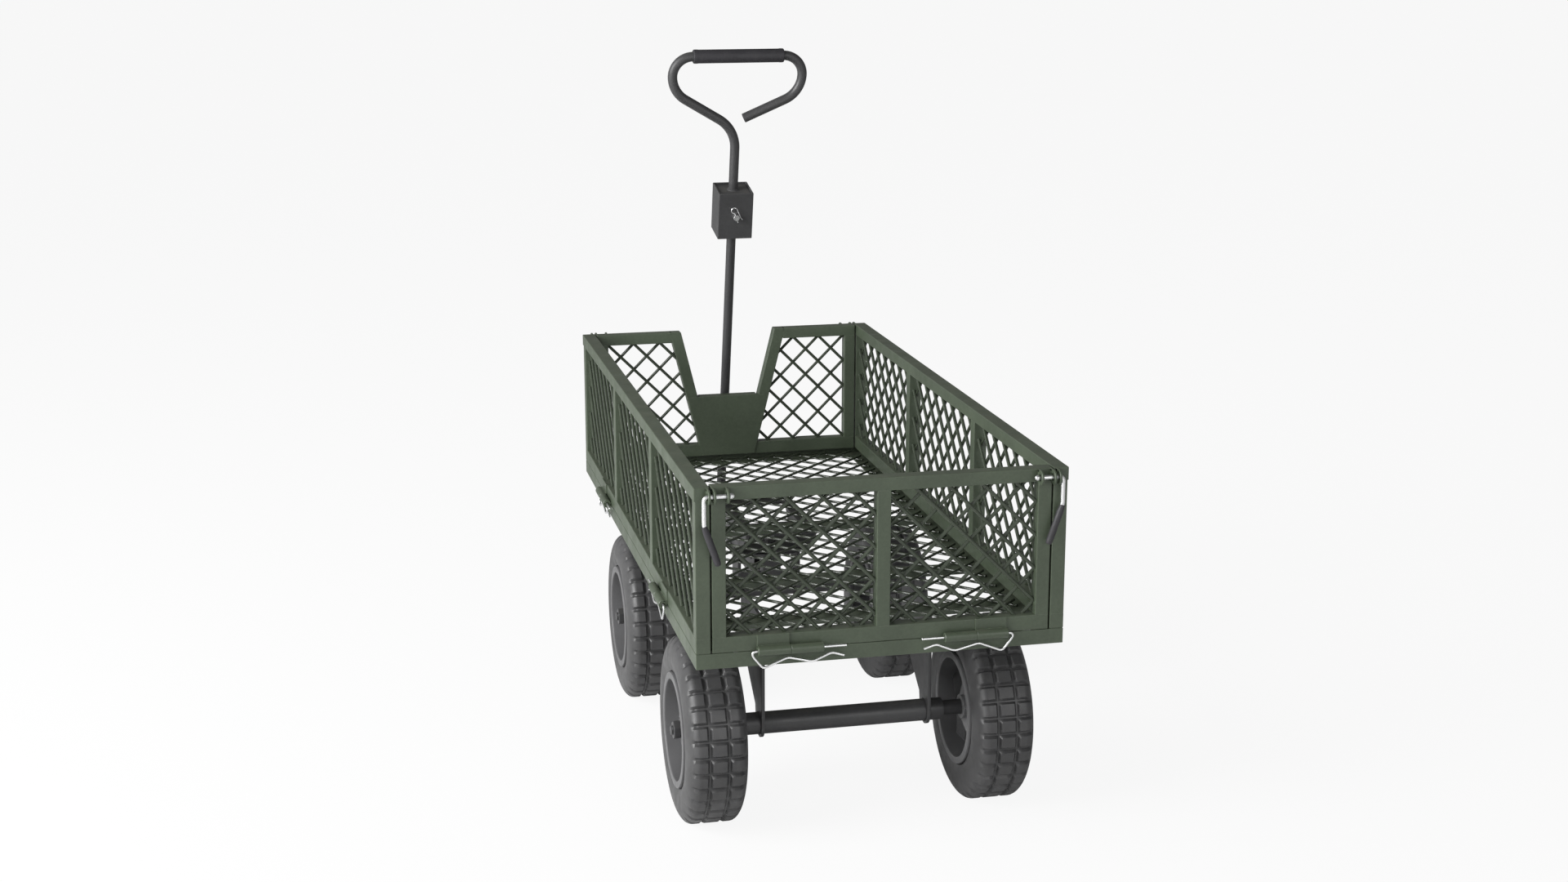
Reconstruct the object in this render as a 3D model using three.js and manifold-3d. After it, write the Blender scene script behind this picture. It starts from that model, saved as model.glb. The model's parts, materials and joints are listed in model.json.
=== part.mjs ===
// A four-wheeled garden cart with steel mesh sides, a fold-down tailgate, steered front wheels
// and a pull handle that also hitches behind a tractor.
// Millimetres. +Z is up, +Y is forward (the handle end), +X is the cart's right-hand side.
import * as THREE from 'three';
import { mergeVertices } from 'three/addons/utils/BufferGeometryUtils.js';
import Module from 'manifold-3d';

const wasm = await Module();
wasm.setup();

// ---------------------------------------------------------------- driving dimensions
const TRAY_WIDTH = 508;
const TRAY_LENGTH = 1067;
const TRAY_BOTTOM = 297;             // height of the tray's underside above the ground
const SKIRT_HEIGHT = 21;
const SHEET = 3;                     // thickness of folded sheet and flat plates
const LEDGE_WIDTH = 32;              // inward flange that carries the floor mesh
const LEDGE_TOP = 10;                // above the tray's underside
const CROSS_MEMBERS = [-370, -190, 85, 300];
const CROSS_WIDTH = 30;

const PANEL_TOP = 244.5;             // above the tray's underside
const BOX_TUBE = 20;                 // square tube of the four panels
const PANEL_BASE = SKIRT_HEIGHT + 0.5;
const STILE = 19;
const TOP_RAIL = 18.5;
const BOTTOM_RAIL = 21.5;
const CORNER_GAP = 2;                // between the side panels and the end panels
const CAP_PROUD = 1.3;               // the side panels' top rails stand out by this much

const NOTCH_TOP = 84;                // half-width of the front panel's notch at the top
const NOTCH_BOTTOM = 55;
const NOTCH_FLOOR = 130;             // above the tray's underside
const NOTCH_BAR = 19;

const MESH_PITCH = 46.2;             // diamond diagonal
const MESH_NODE_HEIGHT = 221.1;      // a row of crossings, above the tray's underside
const TAILGATE_NODES = [-99.2, 126]; // a crossing in each tailgate window, in the panel frame
const FLOOR_PITCH = 47.7;
const FLOOR_NODE = [-12, 418];       // a crossing of the floor mesh, from the tray's middle
const ROD = 3.6;
const ROD_LAYER_GAP = 0.6;
const BAND = 3;                      // edge strip that ties the rods of one window together
const FIT = 0.3;                     // running gap between neighbouring pieces
const BORE_GAP = 0.6;                // between a shaft and the bore around it
const OVERRUN = 20;                  // how far a cutter runs past what it cuts

const BARREL_RADIUS = 6.5;
const BARREL_LENGTH = 44.5;
const BARREL_BORE = 2.4;
const HINGE_OFFSET = BARREL_RADIUS + FIT;
const HINGE_HEIGHT = 22.5;           // hinge axis above the tray's underside
const END_HINGES = 128;              // distance of an end panel's hinges from the middle
const SIDE_HINGES = 273;
const LEAF_HEIGHT = 21;
const LEAF_THICKNESS = 2;
const WIRE = 1.6;                    // radius of the hinge pins' wire

const LATCH_HEIGHT = 237.5;          // latch rod above the tray's underside
const LATCH_OFFSET = 10.5;           // latch rod out from the panel's face
const EYELET_RADIUS = 10;
const EYELET_HOLE = 5.2;
const EYELET_THICKNESS = 3;
const EYELETS_END = [212.5, 230.3];  // on the end panel, from the middle
const EYELET_SIDE = 237.6;           // on the side panel's stile
const LATCH_ROD = 3;
const LATCH_BEND = 243.6;
const LATCH_TIP = 204;

const WHEEL_RADIUS = 134;
const TYRE_WIDTH = 88;
const RIM_RADIUS = 81;
const WHEEL_OUTER = 251;             // tyre's outer face from the middle
const AXLE_HEIGHT = 134;             // above the ground
const REAR_AXLE = -324;
const FRONT_AXLE = 200;
const AXLE_TUBE = 16;
const AXLE_TUBE_HALF = 147;
const FRONT_DROP = 35;               // the front beam is this far above its spindles
const DROP_PLATE = 8;
const SPINDLE = 11;
const THREAD = 7;
const HANGER_AT = 123;
const HANGER_PLATE = 5;
const AXLE_LOBE = AXLE_TUBE + 4.5;    // rounded end of a plate that holds an axle
const HUB_REACH = 31.5;              // spindle's end beyond the wheel's middle
const HUB_HALF = 31;
const HUB_RADIUS = 22;
const RIM_SHELL = 5;
const DISH_HALF = 20;                // half-depth of the spoked middle of the rim
const SPOKES = 5;
const SPOKE_OPENING = 17;
const SPOKE_OPENING_AT = 50;
const THREAD_LENGTH = 15;
const NUT_RADIUS = 14;
const NUT_HEIGHT = 11;

const TURNTABLE_Z = -54;             // below the tray's underside
const TURNTABLE_RADIUS = 62;
const KINGPIN = 8;
const SUPPORT_HALF = 60;             // front support's half-width and half-length at its foot
const SUPPORT_SHEET = 4;
const FORK_HALF = 50;                // steering plates from the middle
const FORK_HALF_LENGTH = 24;
const EAR_SHEET = 5;
const TONGUE = 30;
const TONGUE_Z = -110;

const HANDLE_LEAN = 12.7 * Math.PI / 180;
const HANDLE_TUBE = 8;
const HANDLE_REST = 2.5;             // gap between the parked tube and the notch
const PIVOT_Z = -120;
const PIVOT_BOLT = 5;
const HITCH_BOX = 60;
const HITCH_BOX_HEIGHT = 82;
const HITCH_BOX_FROM_NOTCH = 304;    // along the tube, notch floor to box
const GRIP_FROM_NOTCH = 618;
const GRIP_HALF = 77;
const GRIP_RADIUS = 11.7;
const LOOP_HALF = 110.7;
const LOOP_UPPER = 33.7;             // radius of each side above its widest point
const LOOP_LOWER = 47;               // radius below it
const NECK_RADIUS = 60;
const DIAGONAL = 31.1 * Math.PI / 180;
const FREE_DIAGONAL = 24.4 * Math.PI / 180;
const FREE_END_X = 13;
const HITCH_PIN = 5;
const HITCH_WALL = 3;
const HITCH_PIN_REACH = 10;          // pin's end beyond the box, where its clip goes through
const CLIP_WIRE = 0.9;
const CLIP_TILT = 19 * Math.PI / 180;  // the clip's leg leans this far from upright, loop to the left

// ---------------------------------------------------------------- materials
const green = new THREE.MeshStandardMaterial({ color: 0x58604f, roughness: 0.5, metalness: 0.35 });
const charcoal = new THREE.MeshStandardMaterial({ color: 0x3a3a3a, roughness: 0.5, metalness: 0.35 });
const zinc = new THREE.MeshStandardMaterial({ color: 0xd8d8d6, roughness: 0.2, metalness: 1 });
const tyreRubber = new THREE.MeshStandardMaterial({ color: 0x303031, roughness: 0.85, metalness: 0 });
const rimPaint = new THREE.MeshStandardMaterial({ color: 0x4a4a4b, roughness: 0.5, metalness: 0.2 });
const gripRubber = new THREE.MeshStandardMaterial({ color: 0x38373a, roughness: 0.8, metalness: 0 });

// ---------------------------------------------------------------- solids
function solid(geometry) {
  const bare = geometry.clone();
  bare.deleteAttribute('normal');
  bare.deleteAttribute('uv');
  const merged = mergeVertices(bare, 1e-4);
  return new wasm.Manifold(new wasm.Mesh({
    numProp: 3,
    vertProperties: new Float32Array(merged.attributes.position.array),
    triVerts: new Uint32Array(merged.index.array),
  }));
}

function toGeometry(manifold) {
  const mesh = manifold.getMesh();
  const geometry = new THREE.BufferGeometry();
  geometry.setAttribute('position', new THREE.BufferAttribute(mesh.vertProperties, 3));
  geometry.setIndex(new THREE.BufferAttribute(mesh.triVerts, 1));
  geometry.computeVertexNormals();
  return geometry;
}

function join(geometries) {
  return geometries.map(solid).reduce((whole, next) => whole.add(next));
}

function joinAndCut(geometries, cutters) {
  return toGeometry(cutters.map(solid).reduce((whole, next) => whole.subtract(next), join(geometries)));
}

function block(x0, x1, y0, y1, z0, z1) {
  const geometry = new THREE.BoxGeometry(x1 - x0, y1 - y0, z1 - z0);
  return geometry.translate((x0 + x1) / 2, (y0 + y1) / 2, (z0 + z1) / 2);
}

// A cylinder from one end to the other along 'x', 'y' or 'z'.
function rod(axis, radius, from, to, centre, sides = 24) {
  const geometry = new THREE.CylinderGeometry(radius, radius, to - from, sides);
  geometry.translate(0, (from + to) / 2, 0);
  if (axis === 'x') geometry.rotateZ(-Math.PI / 2);
  if (axis === 'z') geometry.rotateX(Math.PI / 2);
  return geometry.translate(...centre);
}

function outline(points) {
  return new THREE.Shape(points.map(([x, y]) => new THREE.Vector2(x, y)));
}

function rectangle(x0, x1, y0, y1) {
  return [[x0, y0], [x1, y0], [x1, y1], [x0, y1]];
}

// A flat plate in XY with its underside at z = 0.
function plate(points, depth) {
  return new THREE.ExtrudeGeometry(outline(points), { depth, bevelEnabled: false });
}

// The same with openings cut right through it.
function framed(points, openings, depth) {
  const cutters = openings.map((hole) => plate(hole, depth + 2).translate(0, 0, -1));
  return joinAndCut([plate(points, depth)], cutters);
}

function ring2d(radius, sides) {
  const points = [];
  for (let i = 0; i < sides; i += 1) {
    const angle = (i / sides) * 2 * Math.PI;
    points.push([radius * Math.cos(angle), radius * Math.sin(angle)]);
  }
  return outline(points);
}

// A path that has one section at each given point, square to the mean direction there.
class Stations extends THREE.Curve {
  constructor(points) {
    super();
    this.points = points;
  }

  indexAt(u) {
    return Math.round(u * (this.points.length - 1));
  }

  getPointAt(u) {
    return this.points[this.indexAt(u)].clone();
  }

  getTangentAt(u) {
    const i = this.indexAt(u);
    const here = this.points[i];
    const tangent = new THREE.Vector3();
    if (i > 0) tangent.add(here.clone().sub(this.points[i - 1]).normalize());
    if (i < this.points.length - 1) tangent.add(this.points[i + 1].clone().sub(here).normalize());
    return tangent.normalize();
  }
}

// A solid wire or tube through the points.
function bentRod(points, radius, sides) {
  const path = new Stations(points);
  const options = { extrudePath: path, steps: points.length - 1, bevelEnabled: false };
  return new THREE.ExtrudeGeometry(ring2d(radius, sides), options);
}

const cart = new THREE.Group();

function piece(name, geometry, material, parent = cart) {
  const mesh = new THREE.Mesh(geometry, material);
  mesh.name = name;
  parent.add(mesh);
  return mesh;
}

// ---------------------------------------------------------------- hinges and latches
// Hinge parts are drawn in a panel frame: +X along the panel to its outer end, +Y out of the
// panel's outer face, +Z up, and the origin on the face, level with the tray's underside.
function barrel(along, from, to) {
  const centre = [along, HINGE_OFFSET, HINGE_HEIGHT];
  return rod('x', BARREL_RADIUS, from, to, centre, 12);
}

function pinBore(along) {
  return rod('x', BARREL_BORE, -BARREL_LENGTH - 5, BARREL_LENGTH + 5, [along, HINGE_OFFSET, HINGE_HEIGHT], 8);
}

function panelHalfHinge(along, outward) {
  const ends = [FIT * outward, BARREL_LENGTH * outward].sort((a, b) => a - b);
  const [x0, x1] = [along + ends[0], along + ends[1]];
  return [
    barrel(along, ends[0], ends[1]),
    block(x0, x1, -1, HINGE_OFFSET, HINGE_HEIGHT + 1, HINGE_HEIGHT + BARREL_RADIUS - 0.5),
    block(x0, x1, -1, LEAF_THICKNESS, HINGE_HEIGHT + 1, HINGE_HEIGHT + LEAF_HEIGHT),
  ];
}

function trayHalfHinge(along, outward) {
  const ends = [-BARREL_LENGTH * outward, 0].sort((a, b) => a - b);
  return [
    barrel(along, ends[0], ends[1]),
    block(along + ends[0], along + ends[1], -1, HINGE_OFFSET, HINGE_HEIGHT - 5.5, HINGE_HEIGHT - 2),
  ];
}

function eyelet(along, height) {
  const x0 = along - EYELET_THICKNESS / 2;
  const x1 = along + EYELET_THICKNESS / 2;
  return [
    rod('x', EYELET_RADIUS, -EYELET_THICKNESS / 2, EYELET_THICKNESS / 2, [along, LATCH_OFFSET, height], 12),
    block(x0, x1, -1, LATCH_OFFSET, height - EYELET_RADIUS + 1, PANEL_TOP),
  ];
}

function eyeletBore(along, height) {
  return rod('x', EYELET_HOLE, -EYELET_THICKNESS, EYELET_THICKNESS, [along, LATCH_OFFSET, height], 8);
}

// Panel frame to cart frame: the panel's outer face looks towards the given direction.
const FACE = {
  rear: new THREE.Matrix4().makeRotationZ(Math.PI).setPosition(0, -TRAY_LENGTH / 2, TRAY_BOTTOM),
  front: new THREE.Matrix4().setPosition(0, TRAY_LENGTH / 2, TRAY_BOTTOM),
  left: new THREE.Matrix4().makeRotationZ(Math.PI / 2).setPosition(-TRAY_WIDTH / 2, 0, TRAY_BOTTOM),
  right: new THREE.Matrix4().makeRotationZ(-Math.PI / 2).setPosition(TRAY_WIDTH / 2, 0, TRAY_BOTTOM),
};

function onFace(face, geometry) {
  return geometry.clone().applyMatrix4(FACE[face]);
}

const HINGES = { rear: END_HINGES, front: END_HINGES, left: SIDE_HINGES, right: SIDE_HINGES };

// ---------------------------------------------------------------- tray and floor
function trayFrame() {
  const [w, l] = [TRAY_WIDTH / 2, TRAY_LENGTH / 2];
  const inset = (gap) => rectangle(-w + gap, w - gap, -l + gap, l - gap);
  const parts = [
    framed(inset(0), [inset(SHEET)], SKIRT_HEIGHT).translate(0, 0, TRAY_BOTTOM),
    framed(inset(1), [inset(LEDGE_WIDTH)], SHEET).translate(0, 0, TRAY_BOTTOM + LEDGE_TOP - SHEET),
  ];
  for (const y of CROSS_MEMBERS) {
    parts.push(block(-w + 1, w - 1, y - CROSS_WIDTH / 2, y + CROSS_WIDTH / 2,
      TRAY_BOTTOM, TRAY_BOTTOM + LEDGE_TOP - 0.2));
  }
  const bores = [];
  for (const face of Object.keys(HINGES)) {
    for (const side of [-1, 1]) {
      parts.push(...trayHalfHinge(side * HINGES[face], side).map((g) => onFace(face, g)));
      bores.push(onFace(face, pinBore(side * HINGES[face])));
    }
  }
  return joinAndCut(parts, bores);
}

// Welded mesh that fills a width by height opening, flat in XY and centred on the origin:
// two crossed layers of rods that meet only in the edge strip. The rods cross at the given node
// and at every half pitch from it. Rods with the slope in front lie in the +Z layer.
function rodMesh(width, height, [nodeX, nodeY] = [0, 0], pitch = MESH_PITCH, front = -1) {
  const depth = 2 * ROD + ROD_LAYER_GAP;
  const [w, h] = [width / 2, height / 2];
  const inner = rectangle(-w + BAND, w - BAND, -h + BAND, h - BAND);
  const stripDepth = depth + 0.4;
  const parts = [framed(rectangle(-w, w, -h, h), [inner], stripDepth).translate(0, 0, -stripDepth / 2)];
  const [ew, eh] = [w - BAND / 2, h - BAND / 2];
  for (const slope of [-1, 1]) {
    const level = slope * front * (ROD + ROD_LAYER_GAP) / 2;
    const first = nodeX - slope * nodeY;
    const reach = Math.ceil((ew + eh + Math.abs(first)) / pitch);
    for (let i = -reach; i <= reach; i += 1) {
      const x = first + i * pitch;
      const from = Math.max(-ew, x - eh);
      const to = Math.min(ew, x + eh);
      const length = (to - from) * Math.SQRT2;
      if (length < 4 * ROD) continue;
      const bar = new THREE.BoxGeometry(length, ROD, ROD);
      bar.rotateZ(slope * Math.PI / 4);
      bar.translate((from + to) / 2, slope * ((from + to) / 2 - x), level);
      parts.push(bar);
    }
  }
  return toGeometry(join(parts));
}

// ---------------------------------------------------------------- panels
// A panel's rectangles, in the panel frame: x0, x1 of each window.
function windowsBetween(halfLength, posts) {
  const edges = [-halfLength, ...posts, halfLength];
  const spans = [];
  for (let i = 1; i < edges.length; i += 1) {
    const left = i === 1 ? edges[0] + STILE : edges[i - 1] + STILE / 2;
    const right = i === edges.length - 1 ? edges[i] - STILE : edges[i] - STILE / 2;
    spans.push([left, right]);
  }
  return spans;
}

const WINDOW_LOW = SKIRT_HEIGHT + BOTTOM_RAIL + 0.5;
const WINDOW_HIGH = PANEL_TOP - TOP_RAIL;

function panelPlate(halfLength, spans) {
  const windows = spans.map(([x0, x1]) => rectangle(x0, x1, WINDOW_LOW, WINDOW_HIGH));
  const edge = rectangle(-halfLength, halfLength, PANEL_BASE, PANEL_TOP);
  return framed(edge, windows, BOX_TUBE).rotateX(Math.PI / 2);
}

function hingedFrame(face, frameParts, extra = [], extraBores = []) {
  const parts = [...frameParts, ...extra];
  const bores = [...extraBores];
  for (const side of [-1, 1]) {
    parts.push(...panelHalfHinge(side * HINGES[face], side));
    bores.push(pinBore(side * HINGES[face]));
  }
  return onFace(face, joinAndCut(parts, bores));
}

function meshInWindow(name, face, [x0, x1], nodeX = (x0 + x1) / 2) {
  const [x, z] = [(x0 + x1) / 2, (WINDOW_LOW + WINDOW_HIGH) / 2];
  const node = [nodeX - x, MESH_NODE_HEIGHT - z];
  const geometry = rodMesh(x1 - x0 - 2 * FIT, WINDOW_HIGH - WINDOW_LOW - 2 * FIT, node);
  geometry.rotateX(Math.PI / 2);
  geometry.translate(x, -BOX_TUBE / 2, z);
  piece(name, onFace(face, geometry), green);
}

const END_HALF = TRAY_WIDTH / 2 - BOX_TUBE - CORNER_GAP;
const SIDE_HALF = TRAY_LENGTH / 2;

function endEyelets() {
  const places = EYELETS_END.flatMap((x) => [-x, x]);
  return {
    lugs: places.flatMap((x) => eyelet(x, LATCH_HEIGHT)),
    bores: places.map((x) => eyeletBore(x, LATCH_HEIGHT)),
  };
}

function tailgate() {
  const spans = windowsBetween(END_HALF, [0]);
  const { lugs, bores } = endEyelets();
  piece('tailgate_frame', hingedFrame('rear', [panelPlate(END_HALF, spans)], lugs, bores), green);
  meshInWindow('tailgate_mesh_right', 'rear', spans[0], TAILGATE_NODES[0]);
  meshInWindow('tailgate_mesh_left', 'rear', spans[1], TAILGATE_NODES[1]);
}

function sidePanel(face, order) {
  const third = (2 * SIDE_HALF - 4 * STILE) / 3 + STILE;
  const spans = windowsBetween(SIDE_HALF, [-third / 2, third / 2]);
  const cap = block(-SIDE_HALF, SIDE_HALF, -BOX_TUBE, CAP_PROUD, WINDOW_HIGH, PANEL_TOP);
  const end = TRAY_WIDTH / 2 - EYELET_SIDE;
  const lugs = [];
  const bores = [];
  for (const [side, turn] of [[-1, Math.PI / 2], [1, -Math.PI / 2]]) {
    const place = (g) => g.rotateZ(turn).translate(side * SIDE_HALF, -end, 0);
    lugs.push(...eyelet(0, LATCH_HEIGHT).map(place));
    bores.push(place(eyeletBore(0, LATCH_HEIGHT)));
  }
  piece(`${face}_side_frame`, hingedFrame(face, [panelPlate(SIDE_HALF, spans), cap], lugs, bores), green);
  order.forEach((word, i) => meshInWindow(`${face}_side_mesh_${word}`, face, spans[i]));
}

// Half-width of the notch's outline at a height, continued below the notch.
function notchAt(z) {
  const slope = (NOTCH_TOP - NOTCH_BOTTOM) / (PANEL_TOP - NOTCH_FLOOR);
  return NOTCH_BOTTOM + slope * (z - NOTCH_FLOOR);
}

const barAcross = NOTCH_BAR * Math.hypot(1, (NOTCH_TOP - NOTCH_BOTTOM) / (PANEL_TOP - NOTCH_FLOOR));

function frontPanel() {
  const inner = END_HALF - STILE;
  const right = [
    [notchAt(WINDOW_LOW) + barAcross, WINDOW_LOW], [inner, WINDOW_LOW],
    [inner, WINDOW_HIGH], [notchAt(WINDOW_HIGH) + barAcross, WINDOW_HIGH],
  ];
  const edge = [
    [-END_HALF, PANEL_BASE], [END_HALF, PANEL_BASE], [END_HALF, PANEL_TOP], [NOTCH_TOP, PANEL_TOP],
    [NOTCH_BOTTOM, NOTCH_FLOOR], [-NOTCH_BOTTOM, NOTCH_FLOOR], [-NOTCH_TOP, PANEL_TOP],
    [-END_HALF, PANEL_TOP],
  ];
  const left = right.map(([x, z]) => [-x, z]).reverse();
  const bar = NOTCH_FLOOR - NOTCH_BAR;
  const pocket = [
    [-notchAt(WINDOW_LOW), WINDOW_LOW], [notchAt(WINDOW_LOW), WINDOW_LOW],
    [notchAt(bar), bar], [-notchAt(bar), bar],
  ];
  const { lugs, bores } = endEyelets();
  const frame = framed(edge, [right, left, pocket], BOX_TUBE).rotateX(Math.PI / 2);
  piece('front_frame', hingedFrame('front', [frame], lugs, bores), green);

  const sheet = [
    [-notchAt(PANEL_BASE) - barAcross, PANEL_BASE + 1], [notchAt(PANEL_BASE) + barAcross, PANEL_BASE + 1],
    [notchAt(NOTCH_FLOOR) + barAcross - 1, NOTCH_FLOOR], [-notchAt(NOTCH_FLOOR) - barAcross + 1, NOTCH_FLOOR],
  ];
  const cover = plate(sheet, 1.5).rotateX(Math.PI / 2).translate(0, -BOX_TUBE - FIT, 0);
  piece('front_centre_plate', onFace('front', cover), green);

  frontMesh('front_mesh_right', right, 1);
  frontMesh('front_mesh_left', right, -1);
}

// The front windows have one slanted edge, so the rods are trimmed to the window's outline.
function frontMesh(name, corners, side) {
  const [low, lowOuter, highOuter, high] = corners;
  const depth = 2 * ROD + ROD_LAYER_GAP;
  const inset = (gap) => [
    [low[0] + 1.5 * gap, low[1] + gap], [lowOuter[0] - gap, lowOuter[1] + gap],
    [highOuter[0] - gap, highOuter[1] - gap], [high[0] + 0.8 * gap, high[1] - gap],
  ];
  const centre = [(low[0] + lowOuter[0]) / 2, (low[1] + high[1]) / 2];
  const field = rodMesh(2 * (lowOuter[0] - centre[0]) + 60, high[1] - low[1] + 60);
  field.translate(centre[0], centre[1], 0);
  const stripDepth = depth + 0.4;
  const strip = framed(inset(FIT), [inset(BAND)], stripDepth).translate(0, 0, -stripDepth / 2);
  const trim = plate(inset(1), depth + 2).translate(0, 0, -depth / 2 - 1);
  const trimmed = solid(field).intersect(solid(trim)).add(solid(strip));
  const geometry = toGeometry(trimmed).rotateX(Math.PI / 2).translate(0, -BOX_TUBE / 2, 0);
  if (side < 0) {
    geometry.scale(-1, 1, 1);
    const index = geometry.index.array;
    for (let i = 0; i < index.length; i += 3) [index[i], index[i + 1]] = [index[i + 1], index[i]];
  }
  piece(name, onFace('front', geometry), green);
}

// ---------------------------------------------------------------- hinge pins and latch pins
// Wire clip: a straight leg through the barrels, a round bend and a wavy spring leg below, which
// hangs low enough all along for the pin to be drawn past the barrels.
const PIN_BEND = 52;
const PIN_TIP = -76;
const PIN_WAVES = [[37, -24.5], [4, -11], [-30, -19.5], [-56, -8.6], [-73, -14]];

function hingePin(along, outward) {
  const at = (x, z) => new THREE.Vector3(along + outward * x, HINGE_OFFSET, HINGE_HEIGHT + z);
  const points = [at(PIN_TIP, 0), at(PIN_BEND - 3, 0), at(PIN_BEND, -2.5), at(PIN_BEND - 1, -7)];
  points.push(...PIN_WAVES.map(([x, z]) => at(x, z)));
  return bentRod(points, WIRE, 6);
}

function hingePins() {
  const words = {
    rear: ['right', 'left'], front: ['left', 'right'], left: ['rear', 'front'], right: ['front', 'rear'],
  };
  for (const face of Object.keys(HINGES)) {
    [-1, 1].forEach((side, i) => {
      const name = `hinge_pin_${face}_${words[face][i]}`;
      piece(name, onFace(face, hingePin(side * HINGES[face], side)), zinc);
    });
  }
}

const GRIP_TOP = LATCH_HEIGHT - 39;
const GRIP_TILT = 19 * Math.PI / 180;
const GRIP_LENGTH = 56;

function latchPin(face, side) {
  const at = (x, z) => new THREE.Vector3(side * x, LATCH_OFFSET, z);
  const inward = (d) => at(LATCH_BEND - d * Math.sin(GRIP_TILT), GRIP_TOP - d * Math.cos(GRIP_TILT));
  const path = [
    at(LATCH_TIP, LATCH_HEIGHT), at(LATCH_BEND - 4, LATCH_HEIGHT), at(LATCH_BEND - 1.2, LATCH_HEIGHT - 1.2),
    at(LATCH_BEND, LATCH_HEIGHT - 4), at(LATCH_BEND, GRIP_TOP), inward(GRIP_LENGTH - 5),
  ];
  const word = side === (face === 'rear' ? -1 : 1) ? 'right' : 'left';
  piece(`latch_pin_${face}_${word}`, onFace(face, bentRod(path, LATCH_ROD, 10)), zinc);

  const [inside, outside] = [LATCH_ROD + FIT, LATCH_ROD + 1.7];
  const profile = [[0, 0], [outside, 0], [outside, GRIP_LENGTH], [inside, GRIP_LENGTH], [inside, 3], [0, 3]];
  const sleeve = new THREE.LatheGeometry(profile.map(([r, z]) => new THREE.Vector2(r, z)), 16);
  sleeve.translate(0, -GRIP_LENGTH - 1, 0).rotateX(Math.PI / 2);
  sleeve.rotateY(side * GRIP_TILT).translate(side * LATCH_BEND, LATCH_OFFSET, GRIP_TOP);
  piece(`latch_grip_${face}_${word}`, onFace(face, toGeometry(solid(sleeve))), gripRubber);
}

// ---------------------------------------------------------------- wheels and axles
function lathe(profile, sides) {
  const points = profile.map(([r, x]) => new THREE.Vector2(r, x));
  return new THREE.LatheGeometry(points, sides);
}

// Drawn about +Y, with the outer face at +Y, then turned to face outwards.
function turnWheel(geometry, side, y) {
  geometry.rotateZ(-side * Math.PI / 2);
  return geometry.translate(side * (WHEEL_OUTER - TYRE_WIDTH / 2), y, AXLE_HEIGHT);
}

function tyreProfile() {
  const half = TYRE_WIDTH / 2;
  const bead = (RIM_RADIUS + FIT) / Math.cos(Math.PI / 24);
  const flank = WHEEL_RADIUS - 34;
  return [
    [bead, -half + 1], [flank, -half], [WHEEL_RADIUS - 10, -half + 5], [WHEEL_RADIUS, -half + 19],
    [WHEEL_RADIUS, half - 19], [WHEEL_RADIUS - 10, half - 5], [flank, half], [bead, half - 1],
    [bead, -half + 1],
  ];
}

function rim() {
  const half = TYRE_WIDTH / 2;
  const drum = RIM_RADIUS - RIM_SHELL;
  const [inner, outer] = [-half + 2, half - 3];
  const shell = lathe([
    [drum, inner], [RIM_RADIUS, inner], [RIM_RADIUS, outer], [drum, outer], [drum, inner],
  ], 24);
  const dish = rod('y', drum + 2, -DISH_HALF, DISH_HALF, [0, 0, 0], 24);
  const boss = rod('y', HUB_RADIUS, -HUB_HALF, HUB_HALF, [0, 0, 0], 16);
  const cutters = [rod('y', SPINDLE + BORE_GAP, -TYRE_WIDTH, TYRE_WIDTH, [0, 0, 0], 16)];
  for (let i = 0; i < SPOKES; i += 1) {
    const opening = rod('y', SPOKE_OPENING, -HUB_HALF, HUB_HALF, [SPOKE_OPENING_AT, 0, 0], 8);
    cutters.push(opening.rotateY((i / SPOKES) * 2 * Math.PI));
  }
  return joinAndCut([shell, dish, boss], cutters);
}

function wheelNut() {
  const nut = new THREE.CylinderGeometry(NUT_RADIUS, NUT_RADIUS, NUT_HEIGHT, 6);
  return joinAndCut([nut], [rod('y', THREAD + BORE_GAP, -OVERRUN, OVERRUN, [0, 0, 0], 10)]);
}

function axle(y) {
  const end = WHEEL_OUTER - TYRE_WIDTH / 2 + HUB_REACH;
  const tip = end + THREAD_LENGTH;
  const profile = [
    [0, -tip], [THREAD, -tip], [THREAD, -end], [SPINDLE, -end], [SPINDLE, -AXLE_TUBE_HALF],
    [AXLE_TUBE, -AXLE_TUBE_HALF], [AXLE_TUBE, AXLE_TUBE_HALF], [SPINDLE, AXLE_TUBE_HALF], [SPINDLE, end],
    [THREAD, end], [THREAD, tip], [0, tip],
  ];
  return toGeometry(solid(lathe(profile, 16))).rotateZ(-Math.PI / 2).translate(0, y, AXLE_HEIGHT);
}

// A beam with a plate hanging from each end that carries the spindle.
function frontAxle() {
  const end = WHEEL_OUTER - TYRE_WIDTH / 2 + HUB_REACH;
  const tip = end + THREAD_LENGTH;
  const inner = AXLE_TUBE_HALF - DROP_PLATE;
  const beam = AXLE_HEIGHT + FRONT_DROP;
  const parts = [rod('x', AXLE_TUBE, -AXLE_TUBE_HALF + 1, AXLE_TUBE_HALF - 1, [0, FRONT_AXLE, beam], 16)];
  for (const side of [-1, 1]) {
    const [x0, x1] = [side * inner, side * AXLE_TUBE_HALF].sort((a, b) => a - b);
    parts.push(block(x0, x1, FRONT_AXLE - AXLE_LOBE, FRONT_AXLE + AXLE_LOBE,
      AXLE_HEIGHT - AXLE_TUBE, beam + AXLE_LOBE));
    const profile = [
      [0, inner + 1],
      [SPINDLE, inner + 1],
      [SPINDLE, end],
      [THREAD, end],
      [THREAD, tip],
      [0, tip],
    ];
    parts.push(lathe(profile, 16).rotateZ(-side * Math.PI / 2).translate(0, FRONT_AXLE, AXLE_HEIGHT));
  }
  return joinAndCut(parts, []);
}

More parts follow.
